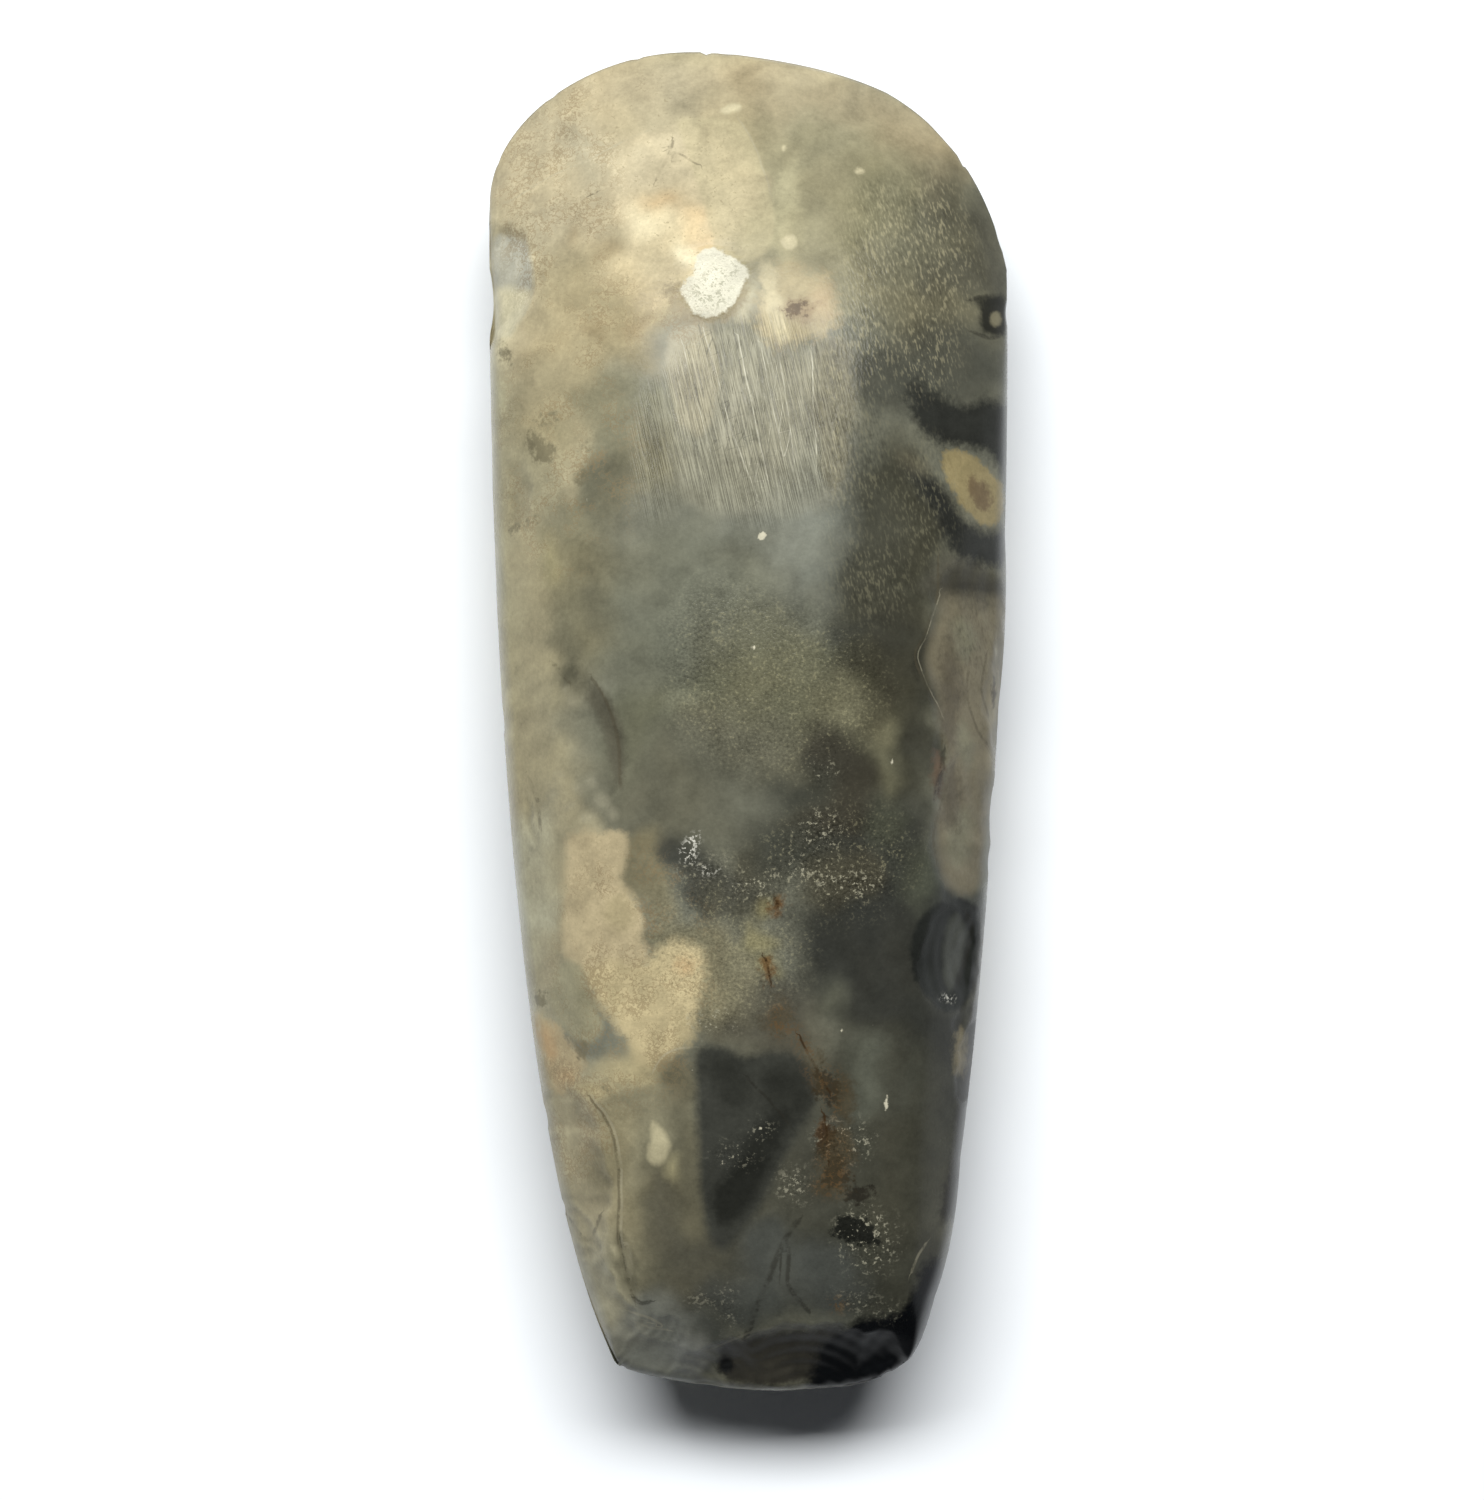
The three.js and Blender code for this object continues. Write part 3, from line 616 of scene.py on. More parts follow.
# Crisp patches, whose rims the material frays: tone, blur, fray, strength, and ovals or closed curves
crispPatches = {
    "panel": ("#c2b895", 0.4, 0.3, 0.6, [
        path(678,122, 700,118, 738,122, 752,140, 762,165, 770,195, 774,225, 768,250, 750,262, 730,260,
            716,262, 712,232, 700,192, 690,160),
    ]),
    # Painted highlight: this patch and the two after it paint the soft light's reflection on the ground strip
    "groundSheen": ("#a3a08b", 1.3, 0.7, 0.4, [
        path(668,322, 690,318, 740,330, 800,345, 850,338, 851,400, 848,460, 838,500, 800,512, 740,515,
            700,508, 678,480, 667,410),
    ]),
    "sheenLeft": ("#b3ab90", 0.6, 0.9, 0.55, [
        path(669,342, 688,324, 712,328, 717,366, 716,404, 706,430, 688,432, 674,400),
    ]),
    "sheenMiddle": ("#b4b09a", 1, 0.9, 0.35, [oval(735,400, 13,44, -10)]),
    "speckBand": ("#807c68", 0.5, 0.8, 0.8, [
        path(816,346, 830,338, 848,344, 851,400, 847,455, 838,492, 824,480, 817,420),
    ]),
    "sideBrown": ("#7e7762", 0.8, 0.5, 1, [
        path(944,588, 939,618, 927,648, 930,676, 940,704, 946,740, 941,790, 937,822, 940,856, 950,888,
            970,894, 984,868, 992,800, 998,740, 1008,660, 1008,600, 992,590, 966,584),
    ]),
    "sideGreen": ("#88866f", 0.9, 0.8, 0.75, [
        oval(960,838, 13,30, -3), oval(962,640, 14,20, 0), oval(965,745, 10,24, 10),
    ]),
    "sideTop": ("#3f3d34", 2.2, 0.5, 1, [oval(972,586, 36,14, 0)]),
    "sideShade": ("#5f5849", 0.9, 0.8, 0.75, [oval(950,690, 11,60, 0), oval(950,795, 9,34, 0)]),
    "sideRust": ("#6b5a4b", 0.5, 0.8, 0.8, [path(933,752, 941,756, 942,775, 936,798, 932,780)]),
    "rimTan": ("#968d72", 0.5, 0.6, 0.7, [oval(992,705, 6,28, -4), oval(988,760, 4,12, 0)]),
    "rimCrack": ("#3f382b", 0.3, 0.6, 0.8, [oval(994,690, 3,15, -4)]),
    "blackBand": ("#31322e", 1, 0.9, 1, [
        path(912,386, 940,392, 968,404, 1008,406, 1009,490, 1000,472, 984,453, 964,447, 944,446, 928,436,
            914,414),
        path(902,466, 918,468, 938,482, 950,498, 962,516, 985,530, 1010,530, 1009,560, 985,566, 950,552,
            936,520, 920,494),
    ]),
    "ochreHalo": ("#656150", 1.1, 0.6, 0.7, [oval(914,462, 18,9, -25)]),
    "ochre": ("#998c66", 0.35, 0.9, 1, [
        path(943,462, 950,450, 962,451, 982,463, 998,480, 1006,498, 1004,514, 994,528, 980,522, 966,512,
            956,497, 946,480),
    ]),
    "ochreHeart": ("#77654c", 0.6, 1.1, 0.85, [oval(979,494, 9,15, 30)]),
    "creamMiddle": ("#c2b38f", 0.7, 0.8, 0.95, [
        path(568,836, 594,831, 626,834, 627,858, 622,880, 635,900, 646,919, 641,938, 650,956, 632,985,
            604,985, 580,972, 565,954, 561,919, 563,870),
    ]),
    "creamLower": ("#c9ba91", 1, 1, 0.97, [
        path(582,972, 606,962, 646,962, 660,950, 680,944, 702,953, 706,985, 696,1010, 692,1034, 677,1052,
            660,1064, 645,1062, 632,1048, 622,1034, 608,1016, 594,1000),
    ]),
    "oliveFacet": ("#a09b7e", 0.6, 0.5, 0.9, [
        path(566,962, 585,970, 594,1000, 602,1024, 594,1040, 580,1042, 566,1032, 554,1012, 550,984),
    ]),
    "creamRim": ("#c2b089", 0.6, 1, 0.8, [
        path(536,1014, 548,1020, 566,1036, 582,1058, 578,1084, 562,1094, 548,1082, 540,1050),
    ]),
    "creamDull": ("#a89c78", 1, 1.2, 0.6, [
        oval(622,912, 14,16, 0), oval(682,1032, 9,16, 0), oval(616,1000, 8,14, 0),
    ]),
    "orangeRim": ("#c29a6c", 1, 1.2, 0.5, [
        oval(549,1046, 8,18, 15), oval(566,1076, 10,8, 0), oval(686,968, 9,6, 0),
    ]),
    "lumps": ("#b3ae95", 0.5, 0.6, 0.35, [
        oval(560,775, 6,4, 0), oval(577,788, 8,5, -30), oval(592,782, 5,4, 0), oval(602,800, 7,5, -30),
        oval(613,813, 5,6, 0), oval(570,806, 7,4, 20), oval(586,819, 7,4, 0), oval(553,796, 5,5, 0),
        oval(566,690, 5,3, 0), oval(572,702, 4,3, 0),
    ]),
    "ovalDark": ("#292b28", 0.4, 0.4, 1, [
        path(944,903, 962,899, 977,910, 978,950, 974,985, 966,1004, 950,1012, 934,1004, 920,985, 912,958,
            914,932, 926,912),
    ]),
    "ovalLens": ("#4d4f47", 0.5, 0.5, 0.9, [
        path(952,920, 961,917, 967,935, 964,955, 958,975, 950,990, 944,975, 945,945),
    ]),
    "tooth": ("#40413b", 0.8, 0.3, 1, [
        path(695,1058, 706,1046, 726,1048, 744,1056, 770,1050, 800,1056, 817,1078, 814,1106, 796,1136,
            782,1164, 766,1196, 748,1226, 726,1250, 710,1240, 702,1205, 698,1150, 696,1100),
    ]),
    "toothLobe": ("#30312c", 1.4, 0.4, 0.85, [
        path(766,1064, 796,1062, 812,1082, 806,1108, 790,1126, 774,1116, 762,1092),
        path(712,1062, 736,1060, 748,1080, 744,1104, 728,1108, 714,1090),
    ]),
    "toothCore": ("#262723", 1, 0.4, 0.9, [
        path(712,1196, 730,1172, 746,1146, 762,1122, 782,1112, 790,1124, 778,1152, 762,1182, 746,1208,
            730,1226, 716,1224),
    ]),
    "paleWedge": ("#bbb392", 0.4, 0.4, 0.9, [
        path(650,1121, 658,1127, 665,1135, 668,1147, 664,1160, 657,1166, 648,1162, 647,1150, 651,1138),
    ]),
    "buttBrown": ("#35332d", 0.8, 0.5, 0.95, [
        path(720,1346, 738,1337, 772,1332, 806,1330, 836,1326, 838,1350, 824,1376, 796,1384, 770,1386,
            738,1384, 722,1376),
    ]),
    "buttBlack": ("#0f1113", 0.8, 0.8, 1, [
        path(810,1376, 818,1352, 836,1332, 860,1318, 898,1312, 912,1294, 922,1270, 938,1260, 948,1292,
            940,1325, 927,1352, 912,1368, 884,1382, 840,1388, 805,1388),
    ]),
    "rimDark": ("#25231d", 0.8, 0.6, 0.9, [
        oval(968,1125, 14,100, -8), oval(978,1045, 9,45, 0), oval(952,1190, 11,34, -14),
    ]),
    "rimChip": ("#8d846a", 0.6, 0.9, 0.75, [oval(961,1048, 6,24, -4)]),
    "notch": ("#191a1a", 0.5, 0.5, 1, [oval(725,1366, 9,9, 0)]),
    "blackCrumbs": ("#1e1f1c", 0.4, 1.8, 0.9, [
        path(836,1222, 852,1218, 872,1224, 880,1238, 868,1246, 850,1238, 838,1234),
    ]),
    # Painted shadow: a darker rim round the lower part of the chalk
    "chalkShadowRim": ("#9a8f72", 0.5, 1.1, 0.8, [
        path(664,290, 680,282, 700,290, 742,272, 748,288, 742,310, 722,324, 700,326, 676,318),
    ]),
    "chalk": ("#e3e0cc", 0.25, 0.8, 1, [
        path(702,250, 720,250, 738,260, 749,272, 745,281, 741,290, 735,303, 727,314, 710,319, 694,313,
            688,303, 678,291, 684,283, 692,274, 696,259),
    ]),
    "creamEye": ("#b8ab88", 1.1, 2, 0.85, [
        path(756,304, 763,286, 776,271, 795,263, 816,271, 834,283, 845,300, 840,318, 824,331, 806,342,
            786,347, 770,341, 760,324),
    ]),
    "eyeLight": ("#d0c6a3", 0.7, 1.2, 0.75, [
        path(760,268, 768,264, 780,288, 789,322, 790,340, 778,342, 768,318, 762,292),
    ]),
    "eyeWarm": ("#c2a988", 1.4, 1, 0.45, [oval(822,300, 13,16, 0)]),
    "eyeHeart": ("#9c8767", 0.9, 1.6, 0.75, [oval(798,309, 15,12, 0)]),
    "eyeSpecks": ("#66543e", 0.35, 2, 0.8, [oval(792,310, 8,7, 0), oval(802,304, 5,4, 0)]),
    "dots": ("#cfc6a4", 0.25, 0.4, 0.85, [
        oval(789,243, 8,8, 0), flat(3.8,63.1, 0.4,0.4, 0), flat(-1.9,67.3, 1.2,0.6, 15),
        flat(12.2,60.4, 0.6,0.4, 0),
    ]),
    "knobRing": ("#262621", 0.5, 0.4, 0.95, [
        path(972,300, 984,296, 1004,297, 1007,332, 990,335, 981,326, 980,308),
    ]),
    "knob": ("#77725c", 0.25, 0.3, 0.9, [oval(996,319, 6,8, 0)]),
    "leftSpots": ("#77715a", 0.5, 1.6, 0.75, [
        oval(549,418, 11,4, 15), oval(586,451, 4,4, 0), oval(546,452, 7,9, 20), oval(583,475, 8,5, 20),
        oval(532,521, 7,4, 15), oval(518,528, 6,3, 10), oval(506,356, 4,8, 30), oval(538,440, 4,3, 0),
        oval(582,1046, 5,10, -20), oval(541,1000, 7,8, 0), oval(607,1088, 4,7, 20),
    ]),
    "chipGrey": ("#bbb9a8", 0.4, 0.4, 0.9, [
        path(494,240, 512,236, 524,240, 532,256, 534,284, 524,296, 505,292, 494,284),
    ]),
    "chipCream": ("#dad3b2", 0.6, 0.5, 0.8, [
        path(493,290, 512,288, 530,292, 526,312, 514,328, 508,336, 496,332, 492,310),
    ]),
    # Painted shade inside the crescent scar's hollow, along its steep right wall
    "crescentShade": ("#5c594b", 0.6, 0.3, 0.85, [
        path(590,684, 603,690, 613,706, 621,732, 623,760, 621,786, 614,780, 608,752, 598,720, 586,702),
    ]),
    "rust": ("#6e4e2a", 0.5, 1.4, 0.75, [
        oval(779,903, 4,8, 0), oval(767,968, 4,13, 5), oval(823,1132, 5,12, 0),
    ]),
    "veinCrumbs": ("#2a2620", 0.4, 2, 0.75, [
        oval(824,1088, 7,14, 10), oval(824,1136, 5,18, 0), oval(836,1174, 12,14, 0),
        oval(856,1196, 10,6, 0),
    ]),
    "rustStain": ("#51452f", 0.9, 2.2, 0.5, [
        oval(779,1021, 11,17, 0), oval(836,1158, 16,26, -10), oval(830,1188, 14,7, 0),
        oval(844,1096, 8,20, 0), oval(806,1048, 4,14, 30), oval(818,1082, 5,12, 30),
    ]),
    "flecks": ("#d6d1b9", 0.1, 0.5, 1, [
        oval(762,536, 1.5,4, -25), oval(783,674, 1.2,3.5, 30), oval(598,636, 1,3.5, 20),
        oval(727,714, 2.5,2, 0), oval(754,647, 2.5,1.6, 0), oval(891,762, 1.8,5, 10),
        oval(873,1028, 1.6,2, 0), oval(819,980, 3,1.2, -30), oval(841,1031, 2.2,2, 0),
        oval(886,1099, 0.8,6, 0), oval(761,1130, 2,1.2, 20), oval(722,1164, 1.6,0.9, 0),
        oval(695,1070, 1.6,0.8, 30), oval(738,926, 1,4, 0), oval(588,500, 1,1.6, 0),
        oval(864,728, 1.2,3, 0),
        oval(690,540, 1,3, 0), oval(820,250, 1.2,2, 0),
    ]),
}
# Fine lines through given points, by tone and strength: half width, then the line's points
lines = {
    "darkLines": ("#2f2e28", 0.6, [
        (0.36, path(798,1222, 786,1240, 774,1266, 756,1304, 746,1334)),
        (0.26, path(790,1250, 789,1285, 808,1312)),
        (0.3, path(967,916, 971,930, 968,952, 960,975, 954,995)),
        (0.25, path(635,1299, 642,1304, 650,1303)), (0.2, path(621,1240, 624,1258, 629,1278)),
        (0.25, path(972,299, 985,296, 1004,298)), (0.2, path(975,333, 990,338, 1004,334)),
        (0.3, path(943,752, 939,772, 934,796)), (0.15, path(748,1078, 768,1098, 793,1130)),
    ]),
    # Partly painted shade along scar ridges and the crescent's rim, partly dark cracks and veins of the stone
    "ridgeShadeAndCracks": ("#544e3e", 0.5, [
        (0.16, path(672,141, 667,157, 656,179)), (0.12, path(667,151, 680,153, 698,164)),
        (0.16, path(591,1099, 607,1124, 616,1166, 617,1209, 618,1242, 626,1276, 635,1301)),
        (0.2, path(566,1215, 588,1240, 600,1215)), (0.2, path(529,778, 538,803, 541,830)),
        (0.22, path(552,664, 568,682)), (0.2, path(592,680, 606,702, 616,738, 620,784)),
        (0.14, path(938,560, 939,592, 924,634, 915,652, 918,670, 928,692, 941,717, 942,744)),
        (0.14, path(941,800, 934,832, 939,862)), (0.16, path(988,654, 981,690, 990,720)),
        (0.16, path(970,660, 966,694, 976,726, 986,744)), (0.12, path(587,196, 597,191)),
    ]),
    # Painted highlight: pale lines along scar ridges, arrises and chip rims
    "ridgeGlintLines": ("#b5af96", 0.4, [
        (0.14, path(594,1099, 610,1124, 619,1166, 620,1209, 622,1242, 630,1276)),
        (0.3, path(627,1245, 630,1260, 631,1274)), (0.16, path(522,240, 533,262, 534,292, 524,316)),
        (0.12, path(652,1070, 664,1055, 680,1048, 694,1047)),
        (0.07, path(941,594, 927,634, 918,652, 921,670, 930,692, 943,716)), (0.2, path(997,640, 999,670)),
        (0.1, path(509,201, 545,180, 571,168, 590,160, 615,145, 655,126)),
        (0.1, path(742,122, 753,140, 762,165, 770,195)), (0.16, path(632,1312, 648,1318, 660,1324)),
        (0.12, path(636,1322, 652,1328, 668,1330)), (0.14, path(912,1272, 918,1256, 926,1244)),
    ]),
    "grooves": ("#6a6858", 0.6, [
        (0.1, path(700,328, 716,388, 738,452, 756,500)), (0.08, path(712,334, 726,384, 744,436)),
        (0.1, path(733,336, 741,372, 752,420, 762,468)), (0.07, path(741,340, 752,392, 764,452, 772,486)),
        (0.07, path(757,344, 768,396, 779,450)), (0.08, path(690,352, 700,402, 716,452)),
        (0.07, path(676,372, 690,430, 704,470)), (0.06, path(783,352, 792,400, 800,448)),
        (0.07, path(799,348, 806,402, 812,470)), (0.08, path(817,346, 819,402, 822,474)),
        (0.06, path(720,440, 736,482, 748,506)),
    ]),
    # Painted highlight: pale glints along the scratches in the ground strip
    "grooveGlints": ("#cfccb8", 0.55, [
        (0.07, path(704,330, 720,390, 742,455, 758,496)), (0.08, path(737,338, 746,376, 757,424, 768,476)),
        (0.06, path(761,346, 772,400, 784,456)), (0.07, path(812,350, 815,404, 818,466)),
        (0.06, path(684,344, 696,396, 710,446)), (0.06, path(778,350, 788,404, 795,462)),
    ]),
    # Painted highlight: pale lines along the butt's lower rim and along the arris above it
    "buttEdgeGlints": ("#8d8a78", 0.3, [
        (0.14, path(709,1350, 731,1340, 754,1330, 776,1328, 800,1331)),
        (0.14, path(680,1383, 712,1388, 767,1390, 821,1389, 861,1386)),
    ]),
    "rustVein": ("#3a2a18", 0.85, [
        (0.12, path(765,958, 768,968, 770,984)), (0.14, path(799,1038, 812,1064, 826,1090)),
        (0.3, path(778,901, 779,906)), (0.12, path(822,1112, 826,1135, 828,1160)),
    ]),
}
# Where small grains lie: tone, share of the noise above which they show, strength, blur and ovals of the
# area. The first ones are drawn out along the grinding
grains = {
    "streakGrains": ("#9a9376", 0.55, 0.42, 3, [
        oval(930,255, 42,80, 0), oval(885,240, 40,60, 0), oval(868,330, 30,50, 0), oval(925,350, 30,40, 0),
        oval(838,410, 9,85, 0),
    ]),
    "faintStreaks": ("#6a6753", 0.55, 0.45, 3, [
        oval(975,640, 24,40, 0), oval(925,500, 30,60, 0), oval(872,580, 40,40, 0), oval(868,450, 20,60, 0),
    ]),
    "oliveGrains": ("#8a8568", 0.61, 0.34, 3, [
        oval(775,690, 110,82, 0), oval(840,860, 80,55, 0), oval(722,640, 55,55, 0), oval(730,940, 80,80, 0),
    ]),
    "paleCrumbs": ("#9a9784", 0.61, 0.8, 1.6, [
        oval(824,775, 13,9, 0), oval(820,832, 20,20, 0), oval(705,868, 20,7, 0), oval(755,885, 20,10, 0),
        oval(850,885, 30,12, 0), oval(714,1022, 22,9, 0), oval(795,1186, 15,14, 0), oval(760,1130, 8,6, 0),
        oval(732,1156, 17,10, 0), oval(845,1142, 28,22, 0), oval(868,1240, 30,34, 20),
        oval(868,1306, 30,7, -15), oval(728,1308, 5,18, 0), oval(700,1300, 8,5, 0), oval(800,870, 18,8, 0),
    ]),
    "rustGrains": ("#5f4a30", 0.52, 0.7, 0.9, [
        oval(779,1021, 11,17, 0), oval(834,1158, 17,27, -10), oval(830,1188, 16,9, 0),
        oval(836,1094, 9,22, 0), oval(804,1046, 5,16, 30), oval(816,1076, 6,14, 30), oval(838,1305, 9,9, 0),
    ]),
    "chalkGrains": ("#96957f", 0.53, 0.65, 0.6, [oval(708,294, 20,16, 0), oval(722,272, 16,12, 0)]),
    "whiteCrumbs": ("#dad8cc", 0.5, 1, 0.35, [
        oval(694,842, 4,8, -25), oval(711,872, 6,2, 0), oval(689,856, 2,3, 0), oval(948,998, 8,2, -15),
    ]),
    "darkPits": ("#877c60", 0.66, 0.42, 3, [flat(-14,55, 14,18, 0), flat(-20,30, 8,14, 0), flat(-14,-28,
        9,16, 0)]),
    "veined": ("#8a7859", 0, 0.5, 2.5, [
        flat(-21,58, 7,14, 0), flat(-20,30, 8,14, 0), flat(-13,-28, 9,14, 0), flat(-20,-44, 6,8, 0),
        flat(-13,44, 8,5, 0),
    ]),
}
print("patches placed:", len(softPatches), "soft,", len(crispPatches), "crisp")
scratched = [(1, 33, 10.4, 11.5, 0), (-10, 29, 2, 7, 0)]  # where grinding scratched the face
# The plainer underside: tone, size of its clouds, height of the noise above which it shows
undersideClouds = [("#5d5c4e", 15, 0), ("#b3a884", 19, 0.12), ("#3f413b", 9, 0.3), ("#c3b48d", 8, 0.42)]
def stoneTone(hexTone):
    shares = [int(hexTone[k : k + 2], 16) / 255 for k in (1, 3, 5)]
    linear = [s / 12.92 if s <= 0.04045 else ((s + 0.055) / 1.055) ** 2.4 for s in shares]
    return (*[painting["toneScale"] * s for s in linear], 1)


def roundedLine(points, closed=False, steps=6):
    points = np.array(points, float)
    ends = (points[-1], points[:2]) if closed else (2 * points[0] - points[1], 2 * points[-1] - points[-2])
    padded = np.vstack([ends[0], points, ends[1]])
    found = []
    for before, start, end, after in zip(padded, padded[1:], padded[2:], padded[3:]):
        for s in np.arange(steps) / steps:
            pull = 2 * start + (end - before) * s + (2 * before - 5 * start + 4 * end - after) * s**2
            found.append(0.5 * (pull + (3 * start - before - 3 * end + after) * s**3))
    return np.array(found + [padded[-2]])


def outsideOval(points, oval):
    x, y, halfWidth, halfHeight, turn = oval
    c, s = math.cos(math.radians(turn)), math.sin(math.radians(turn))
    off = points - np.array([x, y])
    across, along = c * off[:, 0] + s * off[:, 1], c * off[:, 1] - s * off[:, 0]
    share = np.hypot(across / halfWidth, along / halfHeight)
    steep = np.maximum(np.hypot(across / halfWidth**2, along / halfHeight**2), 1e-3)
    return share * (share - 1) / steep


def outsideCurve(points, corners, reach=4):
    ring = roundedLine(corners, closed=True, steps=3)
    outside = np.full(len(points), float(reach))
    close = np.all((points > ring.min(axis=0) - reach) & (points < ring.max(axis=0) + reach), axis=1)
    x, y = points[close].T
    crossings = np.zeros(len(x), int)
    for start, end in zip(ring[:-1], ring[1:]):
        straddles = (start[1] > y) != (end[1] > y)
        slant = (end[0] - start[0]) / (end[1] - start[1] + 1e-9)
        crossings += straddles & (x < start[0] + (y - start[1]) * slant)
    outside[close] = distanceTo(ring, points[close]) * np.where(crossings % 2, -1, 1)
    return outside


# Distance outside a group of ovals and closed curves, which melt into one another
def outsideForms(points, forms, soften):
    kinds = {1: outsideOval, 2: outsideCurve}
    found = [kinds[np.ndim(form)](points, form) for form in forms]
    return -soften * np.logaddexp.reduce([-outside / soften for outside in found])


# How far points lie beside the nearest line, with a sign for the side, and whether they are close to it
def besideLines(points, drawn):
    nearest = np.full(len(points), 50.0)
    across = np.full(len(points), 50.0)
    for halfWidth, corners in drawn:
        line = roundedLine(corners)
        within = (points > line.min(axis=0) - 2) & (points < line.max(axis=0) + 2)
        close = np.flatnonzero(np.all(within, axis=1))
        for start, end in zip(line[:-1], line[1:]):
            step = end - start
            off = points[close] - start
            share = np.clip(off @ step / (step @ step), 0, 1)
            gap = np.hypot(*(off - share[:, None] * step).T)
            nearer = gap < nearest[close]
            chosen = close[nearer]
            nearest[chosen] = gap[nearer]
            side = step[0] * off[nearer, 1] - step[1] * off[nearer, 0]
            across[chosen] = gap[nearer] * np.where(side < 0, -1, 1) / halfWidth
    return across, 1 - smoothStep(nearest, 0.5, 1.1)


def paintPoints(places, ridge):
    plan, height = places[:, :2], places[:, 2]
    besides = 1 - smoothStep(height, *painting["sideFrom"])
    sideways = painting["sideWarp"] * besides * clouds(np.column_stack([plan[:, 1], height]), 6, 61)
    plan = plan + sideways[:, None] * np.array([0.3, 1])
    onTop = smoothStep(height + 2 * clouds(plan, 6, 21), *painting["undersideFrom"])
    moved = warped(plan)
    colour = np.tile(stoneTone(painting["baseTone"])[:3], (len(plan), 1))
    under = np.tile(stoneTone(painting["undersideTone"])[:3], (len(plan), 1))
    for seed, (tone, size, share) in enumerate(undersideClouds):
        mask = smoothStep(clouds(plan, size, 30 + seed, 4), share - 0.08, share + 0.1)[:, None]
        under += mask * (np.array(stoneTone(tone)[:3]) - under)
    for tone, blur, strength, ovals in softPatches.values():
        reach = outsideForms(moved, ovals, 0.5 * blur)
        mask = strength * smoothStep(-reach, -blur, blur)[:, None]
        colour += mask * (np.array(stoneTone(tone)[:3]) - colour)
    colour = under + onTop[:, None] * (colour - under)
    # Painted light and shade: ridges are made lighter and hollows darker, partly also standing for wear on
    # the ridges. It fades out towards the cutting edge, except along the left rim
    ridgeShadingArea = np.maximum(1 - smoothStep(plan[:, 1], *painting["ridgesFade"]), smoothStep(-plan[:, 0], 20, 23))
    colour *= 1 + painting["ridgeTone"] * (ridgeShadingArea * np.clip(ridge / painting["ridgeHeight"], -1, 1))[:, None]
    warm = clouds(moved, painting["warmSize"], 51)
    colour[:, 0] *= 1 + painting["warmth"][0] * warm
    colour[:, 2] *= 1 + painting["warmth"][1] * warm
    marble = sum(
        strength * clouds(moved, size, round(50 + size))
        for size, strength in zip(painting["marbleSize"], painting["marble"])
    )
    painted = {"ground": colour, "marble": marble}
    nearly = plan + painting["crispWarp"] * (moved - plan)
    for name, (tone, blur, fray, strength, forms) in crispPatches.items():
        spots = plan if name in painting["unwarped"] else nearly
        painted[name] = outsideForms(spots, forms, 0.3) + painting["undersideGap"] * (1 - onTop)
    for name, (tone, share, strength, blur, forms) in grains.items():
        painted[name] = onTop * smoothStep(-outsideForms(nearly, forms, 0.8), -blur, blur)
    painted["scratched"] = onTop * smoothStep(-outsideForms(plan, scratched, 1), -1.5, 1.5)
    for name, (tone, strength, drawn) in lines.items():
        painted[name], near = besideLines(nearly, drawn)
        painted[name + "Near"] = near * onTop
    return painted


marks.update(paintPoints(places, marks.pop("ridge")))
marks["crumbly"] = np.clip(0.5 - marks["chalk"] / 0.5, 0, 1)
groundTone = marks.pop("ground")


# Marks are kept three to an attribute, which a material reads faster than one by one
def packedMarks(names):
    packed = {}
    for number in range(0, len(names), 3):
        three = [marks[name] for name in names[number : number + 3]]
        three += [np.zeros(len(places))] * (3 - len(three))
        packed["marks" + str(number // 3)] = np.column_stack(three)
    return packed


packedNames = [name for name in marks if name not in ("inside", "crumbly")]
packs = packedMarks(packedNames)
print("patina laid out:", len(packedNames), "marks in", len(packs), "attributes")


# Wraps one output socket, so that sums of masks read as sums
class Wire:
    def __init__(self, tree, socket=None):
        self.tree = tree
        self.socket = socket

    def node(self, kind, settings=None, sockets=None, output=0):
        made = self.tree.nodes.new(kind)
        for setting, value in (settings or {}).items():
            setattr(made, setting, value)
        for key, value in (sockets or {}).items():
            if isinstance(value, Wire):
                self.tree.links.new(value.socket, made.inputs[key])
            else:
                made.inputs[key].default_value = value
        return Wire(self.tree, made.outputs[output] if len(made.outputs) else None)

    def maths(self, operation, first, second):
        return self.node("ShaderNodeMath", {"operation": operation}, {0: first, 1: second})

    def __add__(self, other):
        return self.maths("ADD", self, other)

    def __sub__(self, other):
        return self.maths("SUBTRACT", self, other)

    def __rsub__(self, other):
        return self.maths("SUBTRACT", other, self)

    def __mul__(self, other):
        return self.maths("MULTIPLY", self, other)

    def __abs__(self):
        return self.maths("ABSOLUTE", self, 0.0)

    __radd__ = __add__
    __rmul__ = __mul__


def inMillimetres(position):
    sockets = {"Vector": position, "Scale": 1 / mm}
    return position.node("ShaderNodeVectorMath", {"operation": "SCALE"}, sockets)


def step(value, start, end, low=0, high=1):
    settings = {"interpolation_type": "SMOOTHSTEP"}
    sockets = {"Value": value, "From Min": start, "From Max": end, "To Min": low, "To Max": high}
    return value.node("ShaderNodeMapRange", settings, sockets)


def layered(under, over, mask):
    return mask.node("ShaderNodeMix", {"data_type": "RGBA"}, {0: mask, 6: under, 7: over}, 2)


def blended(under, over, mask):
    return mask.node("ShaderNodeMix", {"data_type": "FLOAT"}, {0: mask, 2: under, 3: over}, 0)


def noise(place, size, detail=2, rough=0.5):
    sockets = {"Vector": place, "Scale": 1 / size, "Detail": detail, "Roughness": rough}
    return place.node("ShaderNodeTexNoise", {}, sockets)


